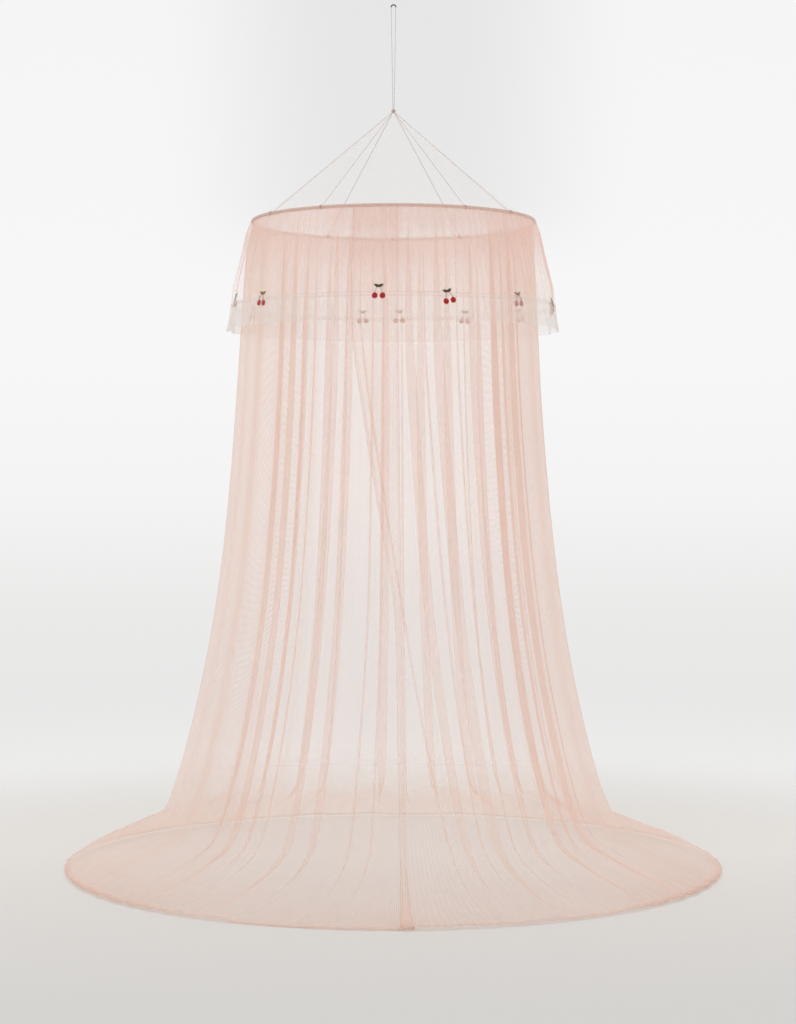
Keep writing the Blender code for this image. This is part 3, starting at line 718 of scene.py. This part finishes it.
# (angle at the top, at half height, at the foot, at the hem, kind)
left_folds = (
    (-3.6, -3.8, -5.4, -12.0, "thin"),
    (-7.6, -8.0, -10.5, -17.0, "thin"),
    (-11.0, -12.5, -14.6, -21.5, "line"),
    (-16.4, -17.6, -19.4, -27.0, "wide"),
    (-21.4, -23.4, -25.4, -32.5, "slim"),
    (-30.0, -31.2, -33.2, -37.0, "thin"),
    (-33.8, -34.8, -36.8, -40.4, "slim"),
    (-39.8, -40.4, -41.8, -44.8, "slim"),
    (-47.0, -47.4, -48.4, -50.6, "slim"),
    (-58.2, -58.4, -58.8, -60.0, "line"),
    (-66.0, -66.0, -66.2, -66.8, "line"),
)
# (angle, kind), from the left side round the back to the right side
back_folds = (
    (-130.0, "thin"), (-139.0, "slim"), (-152.0, "wide"),
    (-160.5, "thin"), (-170.0, "line"), (-176.5, "wide"), (-183.5, "thin"),
    (-191.0, "wide"), (-203.0, "wide"), (-210.5, "thin"), (-218.0, "wide"),
    (-226.0, "slim"), (-233.5, "thin"),
)
right_folds = (
    (66.0, 66.2, 66.6, 67.4, "line"),
    (60.4, 60.8, 61.6, 63.0, "line"),
    (54.6, 55.2, 56.8, 59.0, "thin"),
    (49.4, 50.0, 51.8, 54.4, "slim"),
    (44.6, 45.2, 47.0, 50.0, "slim"),
    (39.8, 40.4, 42.4, 45.8, "slim"),
    (30.0, 32.2, 34.8, 38.6, "wide"),
    (24.0, 26.6, 29.6, 33.8, "thin"),
    (16.2, 21.1, 25.2, 29.0, "wide"),
    (11.0, 16.2, 20.8, 24.6, "thin"),
    (5.6, 11.2, 17.4, 21.4, "wide"),
    (2.2, 8.0, 15.1, 18.8, "line"),
    (-6.0, 5.6, 14.5, 17.2, "line"),
    (-12.0, 3.0, 13.4, 15.6, "thin"),
    (-14.2, 1.7, 7.4, 8.5, "line"),
)
left_edge = (2.0, 2.7, 3.1, 3.3)
right_edge = (-15.4, 0.8, 1.5, 1.1)
left_lapped = 3              # the fold past which each panel leaves the lap
right_lapped = 11
# kind: (half base, fold-over, depth, samples)
pleat_kinds = {
    "wide": (0.020, 0.024, 0.016, 26),
    "slim": (0.014, 0.017, 0.014, 22),
    "thin": (0.008, 0.0072, 0.005, 12),
    "line": (0.0, 0.0, 0.0, 1),
}
lap_top = 0.0020
lap_below = 0.0070
# waves of the sides and back, under the folds
back_start = -42.0
back_end = -313.0
back_waves = 18
back_depth = 0.019
back_share = 0.55            # of the depth kept under the folds
side_share = 0.38            # of that, where the sides hang nearly plain
back_drift = 1.6
back_set_in = 0.25
# one broad fold standing out at each side: (angle, half width, depth)
side_folds = ((-89.0, 11.0, 0.012), (-269.0, 9.0, -0.003))
plain_spacing = 0.75         # degrees between the columns of plain cloth
level_steps = 4
hem_depth = 0.025
last_level_length = 0.088    # down the cloth, between the last two levels
hem_wave = 0.0042            # the foot's edge runs in and out a little
hem_waves = 74
edge_hem = 0.009
turn_gap = 0.0012            # a hem's turned-in layer from the outer one
slope_reach = 0.3            # part of a level over which the slope is taken
net_cover = 0.24
net_length = 2.3
net_width_row = 20
# (share of the way down, closeness of the small gathers)
net_close_down = ((0.0, 1.25), (0.021, 1.25), (0.047, 1.1), (0.08, 1.0), (0.33, 0.93),
                  (0.55, 0.75), (0.82, 0.75), (0.90, 0.97), (1.0, 1.12))
# (angle, closeness of the small gathers), round from the left edge
net_close_round = ((-32.0, 1.0), (-40.0, 1.30), (-64.0, 1.30), (-76.0, 0.90), (-104.0, 0.90),
                   (-116.0, 1.25), (-140.0, 1.25), (-150.0, 1.0), (-212.0, 1.0), (-220.0, 1.30),
                   (-244.0, 1.30), (-256.0, 0.90), (-284.0, 0.90), (-296.0, 1.48),
                   (-318.0, 1.48), (-326.0, 1.0))
net_pink = (0.925, 0.705, 0.612)


def column(angles, shift=0.0, over=0.0, depth=0.0, lap=0.0, turned=0.0):
    """One line down the net: four angles, sideways shift and depths."""
    return np.array((*angles, shift, over, depth, lap, turned))


def net_pleat(entry, start, stop, laps):
    """Columns of one fold, from one depth and lap side to the next."""
    half, over, rise, samples = pleat_kinds[entry[4]]
    out = []
    for t in np.linspace(-1.0, 1.0, samples) if samples > 1 else (0.0,):
        share = 0.5 * (t + 1.0)
        depth = start + (stop - start) * share
        if entry[4] == "thin":
            depth += rise * math.sin(math.pi * share)
        out.append(column(entry[:4], -t * half, over * math.sin(math.pi * t), depth,
                          laps[0] + (laps[1] - laps[0]) * share))
    return out


def lap_ends(number, change, before, after):
    """Lap side at a fold's two ends, where one fold of a panel changes it."""
    return (before if number <= change else after, before if number < change else after)


def net_folds():
    """Every fold from the left edge round the back, as runs of columns."""
    folds = [(entry, lap_ends(number, left_lapped, -1.0, 0.0))
             for number, entry in enumerate(left_folds)]
    folds += [((angle,) * 4 + (kind,), (0.0, 0.0)) for angle, kind in back_folds]
    folds += [(tuple(a - 360.0 for a in entry[:4]) + entry[4:],
               lap_ends(number, right_lapped, 0.0, 1.0))
              for number, entry in enumerate(right_folds)]
    out = []
    depth = -0.5 * pleat_kinds["wide"][2]
    for entry, laps in folds:
        target = depth
        if entry[4] in ("wide", "slim"):
            swing = pleat_kinds[entry[4]][2]
            target = depth + swing if depth < 0.0 else depth - swing
        out += net_pleat(entry, depth, target, laps)
        depth = target
    return out


def filled(columns):
    """Plain columns put in wherever two neighbours stand far apart."""
    out = [columns[0]]
    for col in columns[1:]:
        last = out[-1]
        extra = int(abs(col[1] - last[1]) / plain_spacing)
        for i in range(1, extra + 1):
            share = i / (extra + 1)
            ease = share * share * (3.0 - 2.0 * share)
            plain = last + (col - last) * share
            plain[5] = 0.0                                   # no fold-over
            plain[6:8] = last[6:8] + (col[6:8] - last[6:8]) * ease   # depth and lap
            out.append(plain)
        out.append(col)
    return out


def wave_lift(angle):
    """Lift of the side and back waves at an array of angles."""
    share = np.linspace(0.0, 1.0, 2001)
    at = (back_start + (back_end - back_start) * share
          + back_drift * np.sin(9.0 * np.pi * share) * np.sin(np.pi * share))
    size = 0.78 + 0.22 * np.sin(17.0 * share + 1.0)
    behind = np.clip((-np.cos(np.radians(at)) - 0.50) / 0.35, 0.0, 1.0)
    kept = back_share * (side_share + (1.0 - side_share) * behind)
    lift = back_depth * size * (kept * np.cos(2.0 * np.pi * back_waves * share)
                                - back_set_in)
    lift *= np.clip(np.minimum(share, 1.0 - share) * back_waves * 2.0, 0.0, 1.0)
    out = np.interp(angle, at[::-1], lift[::-1])
    for middle, half, depth in side_folds:
        off = np.clip(np.abs(angle - middle) / half, 0.0, 1.0)
        out += depth * np.cos(0.5 * np.pi * off) ** 2
    return out


right_line = tuple(a - 360.0 for a in right_edge)
turned_shifts = (0.001, 0.5 * edge_hem, edge_hem)
net_columns = np.array(
    [column(left_edge, -shift, lap=-1.0, turned=1.0) for shift in turned_shifts[::-1]]
    + filled([column(left_edge, 0.0, lap=-1.0), column(left_edge, -0.006, lap=-1.0)]
             + net_folds()
             + [column(right_line, 0.006, lap=1.0), column(right_line, 0.0, lap=1.0)])
    + [column(right_line, shift, lap=1.0, turned=1.0) for shift in turned_shifts])
column_angles = net_columns[:, :4]
column_shift, column_over, column_depth, column_lap, column_turned = net_columns[:, 4:].T
column_depth = column_depth + wave_lift(column_angles[:, 1] + np.degrees(column_shift / 0.48))


def smooth_level(at):
    """Row of the level table at a place between two levels, without corners."""
    low = min(int(at), len(net_levels) - 2)
    share = at - low
    before = net_levels[max(low - 1, 0)]
    here = net_levels[low]
    there = net_levels[low + 1]
    beyond = net_levels[min(low + 2, len(net_levels) - 1)]
    return 0.5 * (2.0 * here + (there - before) * share
                  + (2.0 * before - 5.0 * here + 4.0 * there - beyond) * share ** 2
                  + (3.0 * here - before - 3.0 * there + beyond) * share ** 3)


def station_angles(height):
    """Angle of every column at a height, the corners of its path eased."""
    total = 0.0
    probes = (-0.10, -0.05, 0.0, 0.05, 0.10) if height > 0.3 else (-0.02, 0.0, 0.02)
    flipped = column_angles[:, ::-1]
    for probe in probes:
        level = max(height + probe, 0.0)
        index = np.clip(np.searchsorted(fold_stations, level) - 1, 0, 2)
        low, high = fold_stations[index:index + 2]
        share = np.clip((level - low) / (high - low), 0.0, 1.0)
        total = total + flipped[:, index] * (1.0 - share) + flipped[:, index + 1] * share
    return total / len(probes)


def net_line(at, inset=0.0):
    """All points of the net at a place down the level table."""
    last_level = len(net_levels) - 1.0
    level = smooth_level(at)
    above = smooth_level(max(at - slope_reach, 0.0))
    below = smooth_level(min(at + slope_reach, last_level))
    base = station_angles(level[0])
    turn = np.radians(base)
    front = np.maximum(np.cos(turn), 0.0) ** 2
    back = np.maximum(-np.cos(turn), 0.0) ** 2
    side = np.sin(turn) ** 2

    def mix(row, c):
        return side * row[c] + front * row[2 + c] + back * row[4 + c]

    drop = mix(above, 0) - mix(below, 0)
    out = mix(below, 1) - mix(above, 1)
    size = np.hypot(drop, out)
    outward, upward = drop / size, out / size
    loose = max(at - last_level + 2.0, 0.0) / 2.0
    uneven = 0.55 + 0.45 * np.sin(7.0 * turn + 1.0)
    wander = loose * hem_wave * uneven * np.sin(hem_waves * turn + 2.0 * np.sin(9.0 * turn))
    radius = mix(level, 1) + wander
    angle = base + np.degrees((column_shift + column_over * level[7]) / radius)
    lift = (column_depth * level[6] + column_lap * (lap_top + lap_below * level[6])
            - column_turned * turn_gap - inset)
    off_floor = 0.0012 if inset == 0.0 else 0.0006
    height = np.maximum(mix(level, 0) + lift * upward + 0.6 * np.abs(wander), off_floor)
    return place_grid(angle, radius + lift * outward, height)


net_steps = (len(net_levels) - 1) * level_steps
hem_span = hem_depth / last_level_length
net_rows = [net_line(at) for at in np.linspace(0.0, len(net_levels) - 1.0, net_steps + 1)]
net_rows += [net_line(len(net_levels) - 1.0 - hem_span * share, turn_gap)
             for share in (0.04, 0.5, 1.0)]
net_points = np.array(net_rows)
net_across, net_down = cloth_places(net_points, net_width_row, False)
net_width = net_across[0, -1]
net_share_round = [(float(np.interp(-spot, -column_angles[:, 1], net_across[0])) / net_width,
                    share) for spot, share in net_close_round]
net_tulle = tulle("net_tulle_fine", net_pink, net_cover, 0.06, 0.28, (net_width, net_length),
                  net_share_round, net_close_down)
net_cloth = grid_mesh("net_tulle_sheet", net_points, net_across, net_down, False, net_tulle)
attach(net_cloth, "root")
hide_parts("net")

net_seam_thread = thread_finish("net_seam_thread", (0.86, 0.68, 0.61), 1600.0, 0.6, 0.3)
first_whole = 3              # columns before this one are the left edge's turn
last_whole = len(net_columns) - 4
edge_seam_in = 0.017         # the edges' stitches from the edge
hem_seam_row = net_line(len(net_levels) - 1.0 - 0.9 * hem_span, -0.0004)
net_seams = [("net_hem_stitches", hem_seam_row[first_whole:last_whole + 1])]
for seam_name, seam_column, seam_shift in (("left_edge_stitches", first_whole, -edge_seam_in),
                                           ("right_edge_stitches", last_whole, edge_seam_in)):
    seam_route = []
    for row in net_rows[:net_steps]:
        spot_on_edge = Vector(row[seam_column])
        reach_now = spot_on_edge.xy.length + 0.0006
        turn = math.atan2(spot_on_edge.x, -spot_on_edge.y) + seam_shift / reach_now
        seam_route.append((reach_now * math.sin(turn), -reach_now * math.cos(turn),
                           spot_on_edge.z + 0.0003))
    net_seams.append((seam_name, seam_route))
for seam_name, seam_route in net_seams:
    seam = made_by_tree(seam_name, seam_route, stitch_row, (0.0050, 0.0036, 0.0002),
                        net_seam_thread)
    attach(seam, "root")

# ---- Valance ----
# A short skirt of the same tulle outside the net, gathered in the casing and
# falling outward to the ruffle's seam.
# (height above floor, radius, wave depth, small gather share)
valance_rows = np.array((
    (1.9420, 0.43115, 0.0000, 0.05),
    (1.9050, 0.4430, 0.0020, 0.45),
    (1.8290, 0.4585, 0.0035, 1.00),
    (1.7400, 0.4805, 0.0045, 0.80),
    (1.6780, 0.4860, 0.0050, 0.55),
))
valance_waves = 29
valance_gathers = 118
valance_gather_depth = 0.0028
valance_columns = 1180
valance_steps = 22
valance_width_row = 11
valance_length = 0.27
valance_pink = (0.925, 0.705, 0.63)
# (share of the way round from the front by the left, closeness of the gathers)
valance_close_round = ((0.0, 1.05), (0.06, 0.92), (0.10, 0.50), (0.17, 0.38), (0.33, 0.38),
                       (0.40, 0.60), (0.48, 0.90), (0.75, 0.72), (0.84, 0.82), (1.0, 1.05))
valance_close_down = ((0.0, 3.0), (0.17, 2.8), (0.36, 1.45), (0.55, 1.05), (1.0, 1.0))


def valance_wave(turn):
    return (0.7 * np.sin(valance_waves * turn)
            + 0.3 * np.sin((valance_waves - 8) * turn + 1.0))


def valance_gather(turn):
    return (np.cos(valance_gathers * turn + 1.7 * np.sin(9.0 * turn)
                   + 0.9 * np.sin(23.0 * turn + 0.5))
            * (0.68 + 0.32 * np.sin(13.0 * turn + 2.0)))


def at_height(rows, height):
    """Values of a table of falling heights at one height."""
    return [np.interp(height, rows[::-1, 0], rows[::-1, c]) for c in range(1, rows.shape[1])]


valance_angle = round_angles(valance_columns)
valance_turn = np.radians(valance_angle)
valance_lines = []
for valance_height in np.linspace(valance_rows[0, 0], valance_rows[-1, 0], valance_steps):
    radius_now, wave_now, small_now = at_height(valance_rows, valance_height)
    reach_now = (radius_now + wave_now * valance_wave(valance_turn)
                 + small_now * valance_gather_depth * valance_gather(valance_turn))
    valance_lines.append(place_grid(valance_angle, reach_now, valance_height))
valance_cloth = round_cloth(
    "valance_tulle_skirt", valance_lines, valance_width_row, valance_length,
    ("valance_tulle_fine", valance_pink, 0.23, 0.18, 0.60),
    across=valance_close_round, down=valance_close_down)
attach(valance_cloth, "root")
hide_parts("valance")

# ---- Ruffle ----
# A band of paler tulle, cut longer than the valance's foot, gathered and sewn
# over it with a small heading, its lower edge left soft and wavy.
# (height above floor, radius, wave depth)
ruffle_rows = np.array((
    (1.6930, 0.48467, 0.00488),
    (1.6740, 0.48635, 0.00503),
    (1.6120, 0.4955, 0.0088),
))
ruffle_waves = 24
ruffle_gathers = 132
ruffle_columns = 1320
ruffle_steps = 16
ruffle_width_row = 10
ruffle_off = 0.0019          # outside the valance's middle surface
ruffle_drop = 0.062          # from the valance's foot to the ruffle's edge
seam_half = 0.010            # the stitches flatten the gathers this far off
ruffle_seam_height = 1.6860
ruffle_close_round = ((0.0, 0.60), (0.08, 0.75), (0.17, 1.80), (0.30, 1.60), (0.40, 0.70),
                      (0.62, 0.70), (0.74, 1.20), (0.84, 1.20), (0.92, 0.70))
ruffle_cream = (0.90, 0.865, 0.84)


def ruffle_reach(turn, height):
    """Radius of the ruffle at arrays of turns and one height."""
    radius_now, wave_now = at_height(ruffle_rows, height)
    level = min(max((ruffle_rows[1, 0] - height) / ruffle_drop, 0.0), 1.0)
    own = (0.7 * np.sin(ruffle_waves * turn + 0.4)
           + 0.3 * np.sin((ruffle_waves + 7) * turn))
    seam_near = math.exp(-((height - ruffle_seam_height) / seam_half) ** 2)
    small = (0.0014 + 0.0022 * level) * (1.0 - 0.75 * seam_near)
    gather = np.cos(ruffle_gathers * turn + 2.1 * np.sin(8.0 * turn + 1.0)
                    + 1.2 * np.sin(19.0 * turn))
    return (radius_now + ruffle_off
            + wave_now * (valance_wave(turn) * (1.0 - level) + own * level)
            + small * gather * (0.7 + 0.3 * np.sin(11.0 * turn)))


ruffle_angle = round_angles(ruffle_columns)
ruffle_turn = np.radians(ruffle_angle)
ruffle_lines = []
for ruffle_share in np.linspace(0.0, 1.0, ruffle_steps):
    ruffle_height = ruffle_rows[0, 0] + (ruffle_rows[-1, 0] - ruffle_rows[0, 0]) * ruffle_share
    edge_wave = 0.0006 * ruffle_share ** 3 * np.sin(37.0 * ruffle_turn
                                                    + 1.5 * np.sin(5.0 * ruffle_turn))
    ruffle_lines.append(place_grid(ruffle_angle, ruffle_reach(ruffle_turn, ruffle_height),
                                   ruffle_height + edge_wave))
ruffle_cloth = round_cloth("ruffle_tulle_band", ruffle_lines, ruffle_width_row, 1.0,
                           ("ruffle_tulle_fine", ruffle_cream, 0.30, 0.12, 0.60),
                           across=ruffle_close_round)
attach(ruffle_cloth, "root")
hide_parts("ruffle")

ruffle_seam_angle = round_angles(900)
ruffle_seam_reach = ruffle_reach(np.radians(ruffle_seam_angle), ruffle_seam_height) + 0.0006
ruffle_seam_route = place_grid(ruffle_seam_angle, ruffle_seam_reach, ruffle_seam_height)
ruffle_seam = made_by_tree("ruffle_stitches", ruffle_seam_route, stitch_row,
                           (0.0048, 0.0036, 0.0004), seam_thread, True)
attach(ruffle_seam, "root")

# ---- Cherries ----
# Twelve small sewn motifs round the ruffle's seam: two padded berries in red
# satin stitch on brown stems, under two pointed leaves with a raised vein.
# (angle, height of the stems' joint above the floor, tilt in degrees, tone)
cherry_rows = (
    (-72.0, 1.699, 0.0, "palest"), (-50.5, 1.690, -4.0, "soft"), (-4.8, 1.697, 0.0, "full"),
    (18.2, 1.683, 12.0, "full"), (47.4, 1.687, 3.0, "faded"), (74.3, 1.687, -5.0, "palest"),
    (100.0, 1.691, 4.0, "full"), (126.0, 1.686, -6.0, "full"), (152.0, 1.693, 5.0, "palest"),
    (178.0, 1.699, 0.0, "palest"), (-168.0, 1.697, -3.0, "palest"), (-116.0, 1.688, 6.0, "full"),
)
berry_radius = 0.0082
berry_depth = 0.0032
berry_spread = 0.0110
berry_drop = -0.0260
berry_sides = 40
stem_radius = 0.00075
stem_steps = 12
leaf_length = 0.0165
leaf_half = 0.0046
leaf_samples = 13
leaf_heading = 24.0
ruffle_lean = 0.148          # how far the ruffle runs out for its drop
# tone: (berries, leaves)
cherry_tones = {
    "full": ((0.430, 0.008, 0.016), (0.075, 0.060, 0.022)),
    "soft": ((0.480, 0.060, 0.050), (0.240, 0.190, 0.070)),
    "faded": ((0.560, 0.290, 0.270), (0.340, 0.260, 0.180)),
    "palest": ((0.720, 0.520, 0.470), (0.560, 0.460, 0.370)),
}
stem_brown = (0.12, 0.07, 0.035)


def satin_finish(name, color, twist, depth):
    """Satin stitch: close threads side by side, with a silky sheen."""
    finish, tree, shader = new_finish(name, {
        "Roughness": 0.42, "Specular IOR Level": 0.25, "Anisotropic": 0.4})
    where = put(tree, "ShaderNodeUVMap", {}, uv_map="UVMap")
    rows_of_thread = put(tree, "ShaderNodeTexWave",
                         {"Vector": where, "Scale": twist, "Distortion": 0.6,
                          "Detail": 1.0}).outputs["Fac"]
    tone = ramp(tree, rows_of_thread, ((0.0, *toned(color, 0.72)), (1.0, *toned(color, 1.35))))
    relief = put(tree, "ShaderNodeBump",
                 {"Height": rows_of_thread, "Strength": 0.5, "Distance": depth})
    feed(tree, shader, {"Base Color": tone, "Normal": relief})
    return finish


stem_thread = thread_finish("stem_thread", stem_brown, 1500.0, 0.6, 0.2)
cherry_finishes = {
    tone: (satin_finish("berry_satin_" + tone, berry_tone, 420.0, 0.0003), stem_thread,
           satin_finish("leaf_satin_" + tone, leaf_tone, 380.0, 0.00025))
    for tone, (berry_tone, leaf_tone) in cherry_tones.items()}


def dress_faces(faces, uv_layer, slot_number):
    """Material slot of faces, and a UV map from their flat place."""
    for face in faces:
        face.material_index = slot_number
        for loop in face.loops:
            loop[uv_layer].uv = (loop.vert.co.x, loop.vert.co.y)


def domed_patch(shape, uv_layer, outline, peak, rise, slot_number, rings=5):
    """Closed padded patch: flat back, domed front with stitched ripples."""
    middle = sum(outline, Vector((0.0, 0.0, 0.0))) / len(outline) + peak
    loops = []
    for ring in range(rings + 1):
        share = ring / (rings + 1)
        lift = rise * math.sqrt(max(0.0, 1.0 - (1.0 - share) ** 2))
        loop = []
        for number, corner in enumerate(outline):
            spot = corner.lerp(middle, share * share * 0.4 + share * 0.6)
            ripple = 0.00012 * (number % 2) * (1.0 if ring else 0.0)
            loop.append(shape.verts.new((spot.x, spot.y, 0.00005 + lift - ripple)))
        loops.append(loop)
    crest = shape.verts.new((middle.x, middle.y, rise))
    faces = [shape.faces.new(tuple(reversed(loops[0])))]
    for inner, outer in zip(loops[1:], loops):
        faces += join_rings(shape, outer, inner)
    last = loops[-1]
    faces += [shape.faces.new((here, after, crest))
              for here, after in zip(last, last[1:] + last[:1])]
    dress_faces(faces, uv_layer, slot_number)


def leaf_outline(root, heading):
    """Pointed oval from its root along a heading."""
    out = []
    along_leaf = Vector((math.cos(heading), math.sin(heading), 0.0))
    across_leaf = Vector((-math.sin(heading), math.cos(heading), 0.0))
    for side_sign in (1.0, -1.0):
        for i in range(leaf_samples):
            share = i / leaf_samples if side_sign > 0.0 else 1.0 - i / leaf_samples
            wide = math.sin(math.pi * share ** 0.8) ** 0.85 * side_sign * leaf_half
            wide += 0.00035 * math.sin(22.0 * share) * side_sign
            out.append(root + along_leaf * share * leaf_length + across_leaf * wide)
    return out


def stem_rings(shape, top, foot, sign):
    """Rings of a stem that bows outward between its two ends."""
    rings = []
    for i in range(stem_steps + 1):
        share = i / stem_steps
        core = top.lerp(foot, share)
        core.x += sign * 0.0022 * math.sin(math.pi * share)
        core.z += 0.0004 * math.sin(math.pi * share) - 0.0010 * (1.0 - share)
        rings.append([shape.verts.new(core + stem_radius * Vector((aside, 0.0, up)))
                      for aside, up in unit_ring(8)])
    return rings


def motif_shape():
    """Two berries, two stems and two leaves round their joint, flat in X and Y."""
    shape = bmesh.new()
    uv_layer = shape.loops.layers.uv.new("UVMap")
    for sign in (-1.0, 1.0):
        middle = Vector((sign * berry_spread, berry_drop, 0.0))
        outline = [middle + Vector((berry_radius * aside,
                                    berry_radius * 1.04 * up - 0.0006 * aside ** 2, 0.0))
                   for aside, up in unit_ring(berry_sides)]
        domed_patch(shape, uv_layer, outline, Vector((0.0, 0.0012, 0.0)), berry_depth, 0)
        stem_foot = middle + Vector((-sign * 0.0006, berry_radius * 0.75, 0.0030))
        rings = stem_rings(shape, Vector((sign * 0.0006, 0.0010, 0.0014)), stem_foot, sign)
        faces = [shape.faces.new(rings[0]), shape.faces.new(tuple(reversed(rings[-1])))]
        for upper, lower in zip(rings, rings[1:]):
            ahead = upper[1:] + upper[:1], lower[1:] + lower[:1]
            faces += [shape.faces.new(corners)
                      for corners in zip(ahead[0], upper, lower, ahead[1])]
        dress_faces(faces, uv_layer, 1)
        heading = math.radians(90.0 - sign * (90.0 - leaf_heading))
        leaf = leaf_outline(Vector((-sign * 0.0012, -0.0004, 0.0)), heading)
        domed_patch(shape, uv_layer, leaf, Vector((0.0, 0.0, 0.0)), 0.0018 + 0.0003 * sign, 2, 4)
    bmesh.ops.recalc_face_normals(shape, faces=shape.faces)
    return shape


motif = motif_shape()
for cherry_number, (cherry_angle, cherry_height, cherry_tilt, cherry_tone) in enumerate(
        cherry_rows, start=1):
    cherry_name = "cherry_%02d" % cherry_number
    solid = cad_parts[cherry_name]
    corners = np.array([vert.co for vert in solid.data.vertices])
    turn = math.radians(cherry_angle)
    outward = Vector((math.sin(turn), -math.cos(turn), 0.0))
    level = Vector((math.cos(turn), math.sin(turn), 0.0))
    rise = (Vector((0.0, 0.0, 1.0)) - outward * ruffle_lean).normalized()
    facing = level.cross(rise)
    tilt = math.radians(cherry_tilt)
    sideways = level * math.cos(tilt) + rise * math.sin(tilt)
    upward = facing.cross(sideways)
    back_reach = float((corners @ np.array(facing)).min())
    origin = outward * hoop_radius + Vector((0.0, 0.0, cherry_height - hook_height))
    origin += facing * (back_reach - origin.dot(facing))
    mesh = bpy.data.meshes.new(cherry_name + "_sewn")
    motif.to_mesh(mesh)
    for vert in mesh.vertices:
        x, y, z = vert.co
        vert.co = origin + sideways * x + upward * y + facing * z
    for finish in cherry_finishes[cherry_tone]:
        mesh.materials.append(finish)
    mesh.shade_smooth()
    cherry = new_object(cherry_name + "_sewn", mesh)
    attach(cherry, "root")
    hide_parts(cherry_name)
motif.free()
